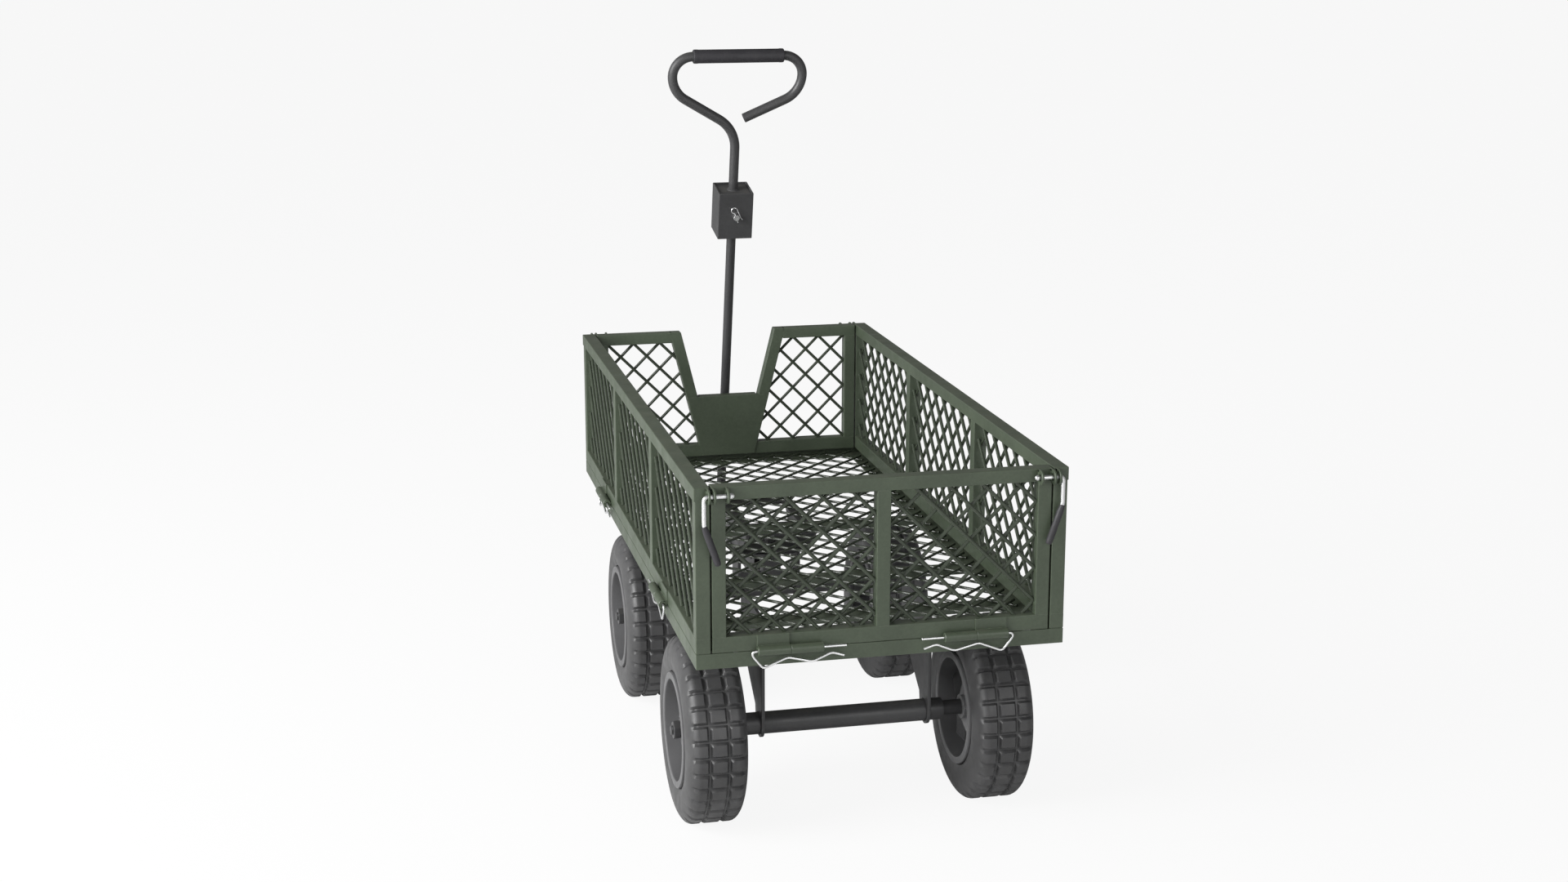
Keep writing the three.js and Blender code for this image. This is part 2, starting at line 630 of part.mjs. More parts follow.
function wheel(word, side, y) {
  piece(`tyre_${word}`, turnWheel(toGeometry(solid(lathe(tyreProfile(), 30))), side, y), tyreRubber);
  piece(`rim_${word}`, turnWheel(rim(), side, y), rimPaint);
  const seat = HUB_REACH + 1 + NUT_HEIGHT / 2;
  piece(`wheel_nut_${word}`, turnWheel(wheelNut().translate(0, seat, 0), side, y), charcoal);
}

// A plate across the cart, drawn in the YZ plane, with a rounded lobe around the axle.
function hangerPlate(x, y, outlineAboveAxle) {
  const points = [];
  for (let i = 0; i <= 12; i += 1) {
    const angle = Math.PI + (i / 12) * Math.PI;
    points.push([AXLE_LOBE * Math.cos(angle), AXLE_LOBE * Math.sin(angle)]);
  }
  const sheet = plate([...points, ...outlineAboveAxle], HANGER_PLATE);
  sheet.rotateX(Math.PI / 2).rotateZ(Math.PI / 2).translate(x - HANGER_PLATE / 2, y, AXLE_HEIGHT);
  return joinAndCut([sheet], [rod('x', AXLE_TUBE + BORE_GAP, -OVERRUN, OVERRUN, [x, y, AXLE_HEIGHT], 16)]);
}

function rearAxle() {
  const top = TRAY_BOTTOM - FIT - AXLE_HEIGHT;
  const above = [[AXLE_LOBE + 4, 21], [72, 55], [124, 95], [124, top], [-AXLE_LOBE, top]];
  piece('rear_axle', axle(REAR_AXLE), charcoal);
  piece('rear_hanger_left', hangerPlate(-HANGER_AT, REAR_AXLE, above), charcoal);
  piece('rear_hanger_right', hangerPlate(HANGER_AT, REAR_AXLE, above), charcoal);
}

// ---------------------------------------------------------------- steering
function frontSupport() {
  const low = TRAY_BOTTOM + TURNTABLE_Z;
  const top = TRAY_BOTTOM - FIT;
  const [y0, y1] = [CROSS_MEMBERS[2] - 10, CROSS_MEMBERS[3] + 10];
  const [rear, front] = [FRONT_AXLE - SUPPORT_HALF, FRONT_AXLE + SUPPORT_HALF];
  const web = (x) => {
    const shape = [[y0, top - 2], [rear, low + 1], [front, low + 1], [y1, top - 2]];
    const sheet = plate(shape, SUPPORT_SHEET).rotateX(Math.PI / 2).rotateZ(Math.PI / 2);
    return sheet.translate(x - SUPPORT_SHEET / 2, 0, 0);
  };
  const parts = [
    block(-SUPPORT_HALF, SUPPORT_HALF, y0, y1, top - SUPPORT_SHEET, top),
    block(-SUPPORT_HALF, SUPPORT_HALF, rear, front, low, low + SUPPORT_SHEET),
    web(-SUPPORT_HALF + SUPPORT_SHEET), web(SUPPORT_HALF - SUPPORT_SHEET),
  ];
  const accessHole = block(-40, 40, rear, front, top - 10, top + 5);
  const pinHole = rod('z', KINGPIN + BORE_GAP, low - OVERRUN, low + OVERRUN, [0, FRONT_AXLE, 0], 20);
  return joinAndCut(parts, [accessHole, pinHole]);
}

function kingpin() {
  const seat = TRAY_BOTTOM + TURNTABLE_Z;
  const head = new THREE.CylinderGeometry(15, 15, 9, 6).rotateX(Math.PI / 2);
  head.translate(0, FRONT_AXLE, seat + SUPPORT_SHEET + 0.5 + 4.5);
  const shaft = rod('z', KINGPIN, seat - 16, seat + 8, [0, FRONT_AXLE, 0], 20);
  const nut = new THREE.CylinderGeometry(14, 14, 8, 6).rotateX(Math.PI / 2);
  nut.translate(0, FRONT_AXLE, seat - 5 - 1 - 4);
  return toGeometry(join([head, shaft, nut]));
}

const PIVOT_Y = TRAY_LENGTH / 2 + HANDLE_REST + HANDLE_TUBE / Math.cos(HANDLE_LEAN)
  + (NOTCH_FLOOR - PIVOT_Z) * Math.tan(HANDLE_LEAN);

function steeringFrame() {
  const disc = TRAY_BOTTOM + TURNTABLE_Z - 0.5;
  const tongue = TRAY_BOTTOM + TONGUE_Z;
  const pivot = TRAY_BOTTOM + PIVOT_Z;
  const half = TONGUE / 2;
  const ear = HANDLE_TUBE + 1;
  const parts = [
    rod('z', TURNTABLE_RADIUS, disc - 4, disc, [0, FRONT_AXLE, 0], 36),
    block(-half, half, FRONT_AXLE - 45, PIVOT_Y - 22, tongue - half, tongue + half),
    block(-half, half, FRONT_AXLE - 45, FRONT_AXLE - 20, tongue, disc - 2),
    block(-half, half, FRONT_AXLE + 25, FRONT_AXLE + 45, tongue, disc - 2),
  ];
  const l = FORK_HALF_LENGTH;
  const beam = AXLE_HEIGHT + FRONT_DROP;
  const shape = [[-l, 5], [-l, disc - beam - 2], [l, disc - beam - 2], [l, 5]];
  for (let i = 0; i <= 8; i += 1) {
    const angle = -(i / 8) * Math.PI;
    shape.push([AXLE_LOBE * Math.cos(angle), AXLE_LOBE * Math.sin(angle)]);
  }
  for (const side of [-1, 1]) {
    const leg = plate(shape, HANGER_PLATE).rotateX(Math.PI / 2).rotateZ(Math.PI / 2);
    parts.push(leg.translate(side * FORK_HALF - HANGER_PLATE / 2, FRONT_AXLE, beam));
    const x0 = side > 0 ? ear : -ear - EAR_SHEET;
    parts.push(block(x0, x0 + EAR_SHEET, PIVOT_Y - 40, PIVOT_Y + 12, pivot - 12, tongue + half));
    const [near, far] = [side * (half - 1), side * (FORK_HALF + 1)].sort((a, b) => a - b);
    parts.push(block(near, far, FRONT_AXLE - 22, FRONT_AXLE - 17, tongue - half, tongue + half));
  }
  const cutters = [
    rod('x', AXLE_TUBE + BORE_GAP, -TYRE_WIDTH, TYRE_WIDTH, [0, FRONT_AXLE, beam], 16),
    rod('z', KINGPIN + BORE_GAP, disc - OVERRUN, disc + OVERRUN, [0, FRONT_AXLE, 0], 20),
    rod('x', PIVOT_BOLT + FIT, -30, 30, [0, PIVOT_Y, pivot], 16),
  ];
  return joinAndCut(parts, cutters);
}

function pivotBolt() {
  const centre = [0, PIVOT_Y, TRAY_BOTTOM + PIVOT_Z];
  const shank = rod('x', PIVOT_BOLT, -26, 18, centre, 16);
  const head = rod('x', 9, 15, 21, centre, 6);
  const nut = rod('x', 9, -23, -15, centre, 6);
  return toGeometry(join([shank, head, nut]));
}

// ---------------------------------------------------------------- handle
// The handle is drawn upright about its pivot: +Z along the tube, then leaned back.
const handle = new THREE.Group();
handle.position.set(0, PIVOT_Y, TRAY_BOTTOM + PIVOT_Z);
handle.rotation.x = HANDLE_LEAN;
const FROM_PIVOT = (NOTCH_FLOOR - PIVOT_Z) / Math.cos(HANDLE_LEAN);   // pivot to the notch floor's level
const BOX_FLOOR = FROM_PIVOT + HITCH_BOX_FROM_NOTCH;
const BOX_TOP = BOX_FLOOR + HITCH_BOX_HEIGHT;
const PIN_LEVEL = BOX_FLOOR + HITCH_BOX_HEIGHT / 2;

function towTube() {
  const tube = rod('z', HANDLE_TUBE, -10, BOX_FLOOR - FIT, [0, 0, 0], 20);
  return joinAndCut([tube], [rod('x', PIVOT_BOLT + FIT, -20, 20, [0, 0, 0], 16)]);
}

function hitchBox() {
  const half = HITCH_BOX / 2;
  const outside = block(-half, half, -half, half, BOX_FLOOR, BOX_TOP);
  const inside = block(-half + HITCH_WALL, half - HITCH_WALL, -half + HITCH_WALL, half - HITCH_WALL,
    BOX_FLOOR + 4, BOX_TOP + 5);
  return joinAndCut([outside], [inside, rod('y', HITCH_PIN + FIT, -50, 50, [0, 0, PIN_LEVEL], 16)]);
}

function hitchPin() {
  const half = HITCH_BOX / 2;
  const shank = rod('y', HITCH_PIN, -half - HITCH_PIN_REACH, half + 2, [0, 0, PIN_LEVEL], 16);
  const head = rod('y', 9, half + 1, half + 5, [0, 0, PIN_LEVEL], 16);
  const hole = rod('z', CLIP_WIRE + 0.4, -OVERRUN, OVERRUN, [0, 0, 0], 8).rotateY(-CLIP_TILT);
  return joinAndCut([shank, head], [hole.translate(0, -half - HITCH_PIN_REACH / 2, PIN_LEVEL)]);
}

// Wire clip: its straight leg goes through the pin, and its wavy leg stays far enough out for
// the clip to be drawn off past the pin's side.
function hitchClip() {
  const y = -HITCH_BOX / 2 - HITCH_PIN_REACH / 2;
  const at = (x, z) => new THREE.Vector3(x, 0, z);
  const path = [
    at(0, -10.5), at(0, 7), at(-4, 10), at(-5, 14), at(-2, 17.6), at(3, 17.6), at(5.6, 14),
    at(6, 9), at(6.7, 3), at(6.7, -3), at(9, -8),
  ];
  return bentRod(path, CLIP_WIRE, 6).rotateY(-CLIP_TILT).translate(0, y, PIN_LEVEL);
}

// The loop's centre line: up from the box, out to the left, over the grip and back to a free end.
function loopPath() {
  const points = [];
  const arc = (cx, cz, radius, from, to, steps, first = 0) => {
    for (let i = first; i <= steps; i += 1) {
      const angle = from + (to - from) * (i / steps);
      points.push(new THREE.Vector3(cx + radius * Math.cos(angle), 0, cz + radius * Math.sin(angle)));
    }
  };
  const widestZ = FROM_PIVOT + GRIP_FROM_NOTCH - LOOP_UPPER;
  const [upperX, lowerX] = [LOOP_HALF - LOOP_UPPER, LOOP_HALF - LOOP_LOWER];
  const footX = -lowerX - LOOP_LOWER * Math.sin(DIAGONAL);
  const footZ = widestZ - LOOP_LOWER * Math.cos(DIAGONAL);
  const crossing = footZ + footX * Math.tan(DIAGONAL);
  const neck = crossing - NECK_RADIUS * Math.tan((Math.PI / 2 - DIAGONAL) / 2);
  points.push(new THREE.Vector3(0, 0, BOX_FLOOR + 6));
  arc(-NECK_RADIUS, neck, NECK_RADIUS, 0, Math.PI / 2 - DIAGONAL, 5);
  arc(-lowerX, widestZ, LOOP_LOWER, 1.5 * Math.PI - DIAGONAL, Math.PI, 4);
  arc(-upperX, widestZ, LOOP_UPPER, Math.PI, 0.5 * Math.PI, 5, 1);
  arc(upperX, widestZ, LOOP_UPPER, 0.5 * Math.PI, 0, 5);
  arc(lowerX, widestZ, LOOP_LOWER, 0, -0.5 * Math.PI + FREE_DIAGONAL, 4, 1);
  const lastX = lowerX + LOOP_LOWER * Math.sin(FREE_DIAGONAL);
  const lastZ = widestZ - LOOP_LOWER * Math.cos(FREE_DIAGONAL);
  points.push(new THREE.Vector3(FREE_END_X, 0, lastZ - (lastX - FREE_END_X) * Math.tan(FREE_DIAGONAL)));
  return points;
}

function handleLoop() {
  const points = loopPath();
  const tube = bentRod(points, HANDLE_TUBE, 12);
  const plug = HITCH_BOX / 2 - HITCH_WALL - FIT;
  const collar = block(-plug, plug, -plug, plug, BOX_TOP - 7, BOX_TOP - 3);
  return joinAndCut([tube, collar], [rod('y', HITCH_PIN + FIT, -20, 20, [0, 0, PIN_LEVEL], 16)]);
}

function handleGrip() {
  const centre = [0, 0, FROM_PIVOT + GRIP_FROM_NOTCH];
  const sleeve = rod('x', GRIP_RADIUS, -GRIP_HALF, GRIP_HALF, centre, 20);
  return joinAndCut([sleeve], [rod('x', HANDLE_TUBE + FIT, -200, 200, centre, 20)]);
}

// ---------------------------------------------------------------- assembly
piece('tray_frame', trayFrame(), green);
const floorHalfWidth = TRAY_WIDTH / 2 - BOX_TUBE;
const floorHalfLength = TRAY_LENGTH / 2 - BOX_TUBE;
const floorLift = TRAY_BOTTOM + LEDGE_TOP + FIT + ROD + ROD_LAYER_GAP / 2;
const floorMesh = rodMesh(2 * floorHalfWidth, 2 * floorHalfLength, FLOOR_NODE, FLOOR_PITCH, 1);
piece('floor_mesh', floorMesh.translate(0, 0, floorLift), green);
tailgate();
sidePanel('left', ['rear', 'middle', 'front']);
sidePanel('right', ['front', 'middle', 'rear']);
frontPanel();
hingePins();
for (const face of ['rear', 'front']) {
  for (const side of [-1, 1]) latchPin(face, side);
}
rearAxle();
piece('front_support', frontSupport(), charcoal);
piece('kingpin', kingpin(), zinc);
piece('steering_frame', steeringFrame(), charcoal);
piece('front_axle', frontAxle(), charcoal);
for (const [end, y] of [['rear', REAR_AXLE], ['front', FRONT_AXLE]]) {
  for (const [word, side] of [['left', -1], ['right', 1]]) wheel(`${end}_${word}`, side, y);
}
piece('handle_pivot_bolt', pivotBolt(), zinc);
piece('tow_tube', towTube(), charcoal, handle);
piece('hitch_box', hitchBox(), charcoal, handle);
piece('hitch_pin', hitchPin(), zinc, handle);
piece('hitch_clip', hitchClip(), zinc, handle);
piece('handle_loop', handleLoop(), charcoal, handle);
piece('handle_grip', handleGrip(), gripRubber, handle);
cart.add(handle);

// The origin is on the ground, in the middle of the whole cart's footprint.
const box = new THREE.Box3().setFromObject(cart, true);
cart.position.y = -(box.min.y + box.max.y) / 2;

export default cart;
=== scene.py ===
"""Looks of a tow behind cart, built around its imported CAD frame. Metres, +Z up, +Y forward."""
import json
import math

import bmesh
import bpy
from mathutils import Matrix, Vector
from mathutils.geometry import tessellate_polygon

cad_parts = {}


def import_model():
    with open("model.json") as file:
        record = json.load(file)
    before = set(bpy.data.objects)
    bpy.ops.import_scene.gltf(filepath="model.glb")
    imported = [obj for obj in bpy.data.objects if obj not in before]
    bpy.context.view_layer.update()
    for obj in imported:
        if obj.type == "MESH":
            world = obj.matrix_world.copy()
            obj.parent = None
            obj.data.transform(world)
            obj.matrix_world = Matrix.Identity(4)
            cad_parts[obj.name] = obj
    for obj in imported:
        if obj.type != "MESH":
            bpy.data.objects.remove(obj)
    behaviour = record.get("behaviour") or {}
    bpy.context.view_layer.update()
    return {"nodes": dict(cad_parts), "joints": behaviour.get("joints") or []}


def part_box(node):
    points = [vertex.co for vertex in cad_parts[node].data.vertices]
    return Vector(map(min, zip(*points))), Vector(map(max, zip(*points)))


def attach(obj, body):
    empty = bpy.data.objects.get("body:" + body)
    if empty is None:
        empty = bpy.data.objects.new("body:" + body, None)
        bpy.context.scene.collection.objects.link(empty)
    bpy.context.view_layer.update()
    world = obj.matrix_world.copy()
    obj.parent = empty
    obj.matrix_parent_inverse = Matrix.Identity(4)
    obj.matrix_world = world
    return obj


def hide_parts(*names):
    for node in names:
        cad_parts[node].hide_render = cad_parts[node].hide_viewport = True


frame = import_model()

# ---------------------------------------------------------------- sizes and places
HINGE_PROUD = 0.0133            # the hinges stand out from the tray's skirt by this much
TRAY_LOW, TRAY_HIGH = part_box("tray_frame")
HALF_W = (TRAY_HIGH.x - TRAY_LOW.x) / 2 - HINGE_PROUD
HALF_L = (TRAY_HIGH.y - TRAY_LOW.y) / 2 - HINGE_PROUD
CENTRE_Y = (TRAY_LOW.y + TRAY_HIGH.y) / 2
TRAY_Z = TRAY_LOW.z

SKIRT = 0.021
SHEET = 0.003
LEDGE_WIDTH = 0.032
LEDGE_TOP = 0.010
CROSS_MEMBERS = (-0.370, -0.190, 0.085, 0.300)
CROSS_HALF = 0.015

PANEL_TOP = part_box("left_side_frame")[1].z - TRAY_Z
PANEL_BASE = SKIRT + 0.0005
SEAL_BASE = SKIRT + 0.00005     # a filler strip behind the gap between the skirt and each panel
SEAL_BACK = 0.0022              # set back from the face, so that the gap reads as a dark line
TUBE = 0.020                    # square tube of the panels
STILE = 0.019
WINDOW_LOW = 0.043
WINDOW_HIGH = PANEL_TOP - 0.0185
CAP_PROUD = 0.0013
END_HALF = HALF_W - TUBE - 0.002
NOTCH_TOP = 0.084
NOTCH_BOTTOM = 0.055
NOTCH_FLOOR = 0.130
NOTCH_BAR = 0.019
EDGE = 0.0012                   # rounding along the edges of tube and plate

PITCH = 0.0462                  # diamond diagonal of the panel mesh
NODE_HEIGHT = 0.2211            # rods cross at this height in every panel
TAILGATE_NODES = {"right": -0.0992, "left": 0.126}   # and here along the tailgate
FLOOR_PITCH = 0.0477
ROD = 0.0026                    # radius
FLOOR_ROD = 0.0021
FLOOR_NODE = (-0.012, CENTRE_Y + 0.418)   # a crossing of the floor mesh
LAYER = 0.0022                  # each rod layer from the middle of the mesh
ROD_END = 0.0015                # how far a rod runs into the frame

BARREL = 0.0065
BARREL_LENGTH = 0.0445
BORE = 0.0024
HINGE_OUT = 0.0068
HINGE_UP = 0.0225
END_HINGES = 0.128
SIDE_HINGES = 0.273
LEAF_HEIGHT = 0.021
WIRE = 0.0016
PIN_WAVES = (
    (0.037, -0.0245), (0.004, -0.011), (-0.030, -0.0195), (-0.056, -0.0086), (-0.073, -0.014),
)

LATCH_UP = 0.2375
LATCH_OUT = 0.0105
EYELET = 0.010
EYELET_HOLE = 0.0052
EYELET_HALF = 0.0015
EYELETS_END = (0.2125, 0.2303)
EYELET_SIDE = 0.0164            # from the side panel's face
LATCH_ROD = 0.003
LATCH_BEND = 0.2436
LATCH_TIP = 0.204
LATCH_GRIP_TOP = LATCH_UP - 0.039
LATCH_GRIP_TILT = math.radians(19)
LATCH_GRIP_LENGTH = 0.056

TREAD_ROWS = 35
TREAD_DEPTH = 0.0045
RING_AT = 0.0135                # ring grooves, each side of the middle
RING_FLOOR = 0.0012             # half-width of a groove's floor, and the width of its sloping wall
RING_WALL = 0.0030
CROSS_FLOOR = 0.0011
CROSS_WALL = 0.0032
TREAD_PHASE = math.radians(178.3)
TYRE_RADIUS = 0.134
HUB = 0.021
HUB_HALF = 0.031
NUT_SEAT = 0.0325
NUT_RADIUS = 0.0138
NUT_HEIGHT = 0.011
SPOKES = 5
SPOKE_FROM = 0.0170             # radii at the hub and at the drum
SPOKE_TO = 0.0715
AXLE_TUBE = 0.016
AXLE_TUBE_HALF = 0.147
FRONT_DROP = 0.035              # the front beam is this far above its spindles
DROP_PLATE = 0.008
SPINDLE = 0.0110
THREAD = 0.0070
THREAD_LENGTH = 0.015

HANDLE_LEAN = math.radians(12.7)
HANDLE_TUBE = 0.008
PIVOT = Vector(next(j for j in frame["joints"] if j["name"] == "handle_fold")["pos_m"])
FROM_PIVOT = 0.250 / math.cos(HANDLE_LEAN)
BOX_HALF = 0.030
BOX_FLOOR = FROM_PIVOT + 0.304
BOX_TOP = BOX_FLOOR + 0.082
PIN_LEVEL = (BOX_FLOOR + BOX_TOP) / 2
GRIP_LEVEL = FROM_PIVOT + 0.618
GRIP_HALF = 0.077
GRIP_RADIUS = 0.0117
LOOP_HALF = 0.1107
LOOP_UPPER = 0.0337             # radius of each side above its widest point
LOOP_LOWER = 0.047              # radius below it
NECK_RADIUS = 0.060
DIAGONAL = math.radians(31.1)
FREE_DIAGONAL = math.radians(24.4)
FREE_END_X = 0.013
CLIP_WIRE = 0.0009
CLIP_TILT = math.radians(19)

CAMERA_AT = (-0.73981, -3.22777, 1.27077)
CAMERA_TURN = (math.radians(76.230), 0, math.radians(-12.773))


def along_z(angle, x, y):
    return Matrix.Translation((x, y, TRAY_Z)) @ Matrix.Rotation(angle, 4, "Z")


# A panel frame has +X along the panel to its outer end, +Y out of its outer face and +Z up.
FACES = {
    "rear": along_z(math.pi, 0, CENTRE_Y - HALF_L),
    "front": along_z(0, 0, CENTRE_Y + HALF_L),
    "left": along_z(math.pi / 2, -HALF_W, CENTRE_Y),
    "right": along_z(-math.pi / 2, HALF_W, CENTRE_Y),
}
HINGES = {"rear": END_HINGES, "front": END_HINGES, "left": SIDE_HINGES, "right": SIDE_HINGES}
WORDS = {
    "rear": ("right", "left"), "front": ("left", "right"),
    "left": ("rear", "front"), "right": ("front", "rear"),
}
HANDLE = Matrix.Translation(PIVOT) @ Matrix.Rotation(HANDLE_LEAN, 4, "X")


# ---------------------------------------------------------------- mesh work
def rounded(bm, radius, segments=3):
    """Rounds every sharp edge."""
    limit = math.radians(30)
    sharp = [e for e in bm.edges if e.is_manifold and e.calc_face_angle(0) > limit]
    if radius:
        bmesh.ops.bevel(bm, geom=sharp, offset=radius, segments=segments, profile=0.5,
                        affect="EDGES", clamp_overlap=True)
    return bm


def block(x0, x1, y0, y1, z0, z1, radius=EDGE):
    bm = bmesh.new()
    bmesh.ops.create_cube(bm, size=1)
    middle = Vector((x0 + x1, y0 + y1, z0 + z1)) / 2
    size = Vector((x1 - x0, y1 - y0, z1 - z0))
    for v in bm.verts:
        v.co = middle + v.co * size
    return rounded(bm, radius)


def prism(outline, y0, y1, holes=(), radius=EDGE, segments=3):
    """A plate with its outline in XZ, from y0 to y1, with openings."""
    loops = [outline, *holes]
    flat = [[Vector((x, z, 0)) for x, z in loop] for loop in loops]
    bm = bmesh.new()
    near = [bm.verts.new((p.x, y0, p.y)) for loop in flat for p in loop]
    far = [bm.verts.new((p.x, y1, p.y)) for loop in flat for p in loop]
    for a, b, c in tessellate_polygon(flat):
        bm.faces.new((near[a], near[b], near[c]))
        bm.faces.new((far[c], far[b], far[a]))
    start = 0
    for loop in loops:
        for i in range(len(loop)):
            a = start + i
            b = start + (i + 1) % len(loop)
            bm.faces.new((near[a], far[a], far[b], near[b]))
        start += len(loop)
    bmesh.ops.recalc_face_normals(bm, faces=bm.faces)
    bmesh.ops.dissolve_limit(bm, angle_limit=math.radians(1), verts=bm.verts, edges=bm.edges)
    return rounded(bm, radius, segments)


def skin(rings, closed=False):
    """Joins rings of equal length, or single points, into a surface with capped ends."""
    bm = bmesh.new()
    rows = [[bm.verts.new(p) for p in ring] for ring in rings]
    pairs = list(zip(rows, rows[1:]))
    if closed:
        pairs.append((rows[-1], rows[0]))
    for low, high in pairs:
        count = max(len(low), len(high))
        for i in range(count):
            j = (i + 1) % count
            corners = [low[i % len(low)], low[j % len(low)], high[j % len(high)], high[i % len(high)]]
            distinct = list(dict.fromkeys(corners))
            if len(distinct) > 2:
                bm.faces.new(distinct)
    if not closed:
        for row in (rows[0], rows[-1]):
            if len(row) > 2:
                bm.faces.new(row)
    bmesh.ops.recalc_face_normals(bm, faces=bm.faces)
    return bm


def lathe(profile, sides=48, closed=False, turn=Matrix.Identity(4)):
    """Spins (radius, height) points about Z, then turns the result."""
    rings = []
    for radius, height in profile:
        count = sides if radius > 0 else 1
        angles = [2 * math.pi * i / sides for i in range(count)]
        rings.append([turn @ Vector((radius * math.cos(a), radius * math.sin(a), height)) for a in angles])
    return skin(rings, closed)


def softened(points, reach, steps=6):
    """The path with a curve in place of each inner corner."""
    points = [Vector(p) for p in points]
    path = [points[0]]
    for before, here, after in zip(points, points[1:], points[2:]):
        back = before - here
        on = after - here
        start = here + back.normalized() * min(reach, 0.45 * back.length)
        end = here + on.normalized() * min(reach, 0.45 * on.length)
        for i in range(steps + 1):
            t = i / steps
            path.append((1 - t) ** 2 * start + 2 * t * (1 - t) * here + t * t * end)
    return [*path, points[-1]]


def swept(path, radius, sides=16, chamfer=0.0003, bore=0.0):
    """A round bar along the path. A bore leaves the far end open, like a cut tube."""
    path = [Vector(p) for p in path]
    first = (path[1] - path[0]).normalized()
    last = (path[-1] - path[-2]).normalized()
    stations = [(path[0], first, radius - chamfer), (path[0] + first * chamfer, first, radius)]
    for before, here, after in zip(path, path[1:], path[2:]):
        mean = (here - before).normalized() + (after - here).normalized()
        stations.append((here, mean.normalized(), radius))
    stations.append((path[-1] - last * chamfer, last, radius))
    stations.append((path[-1], last, radius - chamfer))
    if bore:
        stations.append((path[-1], last, bore))
        stations.append((path[-1] - last * 6 * bore, last, bore))
    across = first.orthogonal().normalized()
    rings = []
    heading = first
    for place, tangent, size in stations:
        across = heading.rotation_difference(tangent) @ across
        heading = tangent
        side = tangent.cross(across)
        angles = [2 * math.pi * i / sides for i in range(sides)]
        rings.append([place + size * (math.cos(a) * across + math.sin(a) * side) for a in angles])
    return skin(rings)


def softened_copy(name, radius, segments=2):
    """A CAD node's own shape with rounded edges."""
    bm = bmesh.new()
    bm.from_mesh(frame["nodes"][name].data)
    bmesh.ops.remove_doubles(bm, verts=bm.verts, dist=1e-6)
    bmesh.ops.dissolve_limit(bm, angle_limit=math.radians(0.5), verts=bm.verts, edges=bm.edges)
    return rounded(bm, radius, segments)


def turned(part, matrix):
    part.transform(matrix)
    return part


def joined(name, parts, place):
    whole = bmesh.new()
    for part in parts:
        mesh = bpy.data.meshes.new(name)
        part.to_mesh(mesh)
        part.free()
        whole.from_mesh(mesh)
        bpy.data.meshes.remove(mesh)
    whole.transform(place)
    mesh = bpy.data.meshes.new(name)
    whole.to_mesh(mesh)
    whole.free()
    return mesh


def piece(name, parts, material, body, nodes, place=Matrix.Identity(4), sharp=35):
    """Makes one object from closed parts, rides it on a body and lets it stand for CAD nodes."""
    mesh = joined(name, parts, place)
    mesh.shade_smooth()
    mesh.set_sharp_from_angle(angle=math.radians(sharp))
    mesh.materials.append(material)
    made = bpy.data.objects.new(name, mesh)
    bpy.context.scene.collection.objects.link(made)
    made.modifiers.new("flat_faces", "WEIGHTED_NORMAL").keep_sharp = True
    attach(made, body)
    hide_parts(*nodes)
    return made


# ---------------------------------------------------------------- materials
def add_node(tree, kind, inputs=None, **settings):
    made = tree.nodes.new(kind)
    for key, value in settings.items():
        setattr(made, key, value)
    for key, value in (inputs or {}).items():
        if isinstance(value, bpy.types.NodeSocket):
            tree.links.new(value, made.inputs[key])
        else:
            made.inputs[key].default_value = value
    return made


def blank(name):
    material = bpy.data.materials.new(name)
    material.use_nodes = True
    tree = material.node_tree
    return material, tree, tree.nodes["Principled BSDF"]


def noise(tree, scale, detail=3, roughness=0.5):
    place = add_node(tree, "ShaderNodeTexCoord").outputs["Object"]
    inputs = {"Vector": place, "Scale": scale, "Detail": detail, "Roughness": roughness}
    return add_node(tree, "ShaderNodeTexNoise", inputs).outputs["Fac"]


def spread(tree, value, low, high, source=(0.35, 0.65)):
    """Maps a noise value onto low to high."""
    inputs = {"Value": value, "From Min": source[0], "From Max": source[1], "To Min": low, "To Max": high}
    return add_node(tree, "ShaderNodeMapRange", inputs).outputs["Result"]


def math_node(tree, operation, a, b=0.0):
    return add_node(tree, "ShaderNodeMath", {0: a, 1: b}, operation=operation).outputs[0]


def shaded(tree, colour, shade):
    """The colour made lighter or darker by a shade factor."""
    inputs = {0: colour[:3], "Scale": shade}
    return add_node(tree, "ShaderNodeVectorMath", inputs, operation="SCALE").outputs[0]


def blend_colour(tree, share, a, b):
    return add_node(tree, "ShaderNodeMixRGB", {"Fac": share, "Color1": a, "Color2": b}).outputs["Color"]


def bump(tree, height, distance, strength=1.0, normal=None):
    inputs = {"Height": height, "Distance": distance, "Strength": strength}
    if normal:
        inputs["Normal"] = normal
    return add_node(tree, "ShaderNodeBump", inputs).outputs["Normal"]


def rgb(red, green, blue, gain=1.0):
    """An sRGB colour in 0 to 255 as a linear one."""
    linear = [((c / 255 + 0.055) / 1.055) ** 2.4 * gain for c in (red, green, blue)]
    return (*linear, 1.0)


def edge_share(tree, width):
    """1 along outer edges, 0 on flats."""
    wide = add_node(tree, "ShaderNodeBevel", {"Radius": width}, samples=4).outputs["Normal"]
    true = add_node(tree, "ShaderNodeNewGeometry").outputs["Normal"]
    dot = add_node(tree, "ShaderNodeVectorMath", {0: wide, 1: true}, operation="DOT_PRODUCT")
    return spread(tree, dot.outputs["Value"], 1.0, 0.0, (0.80, 0.995))


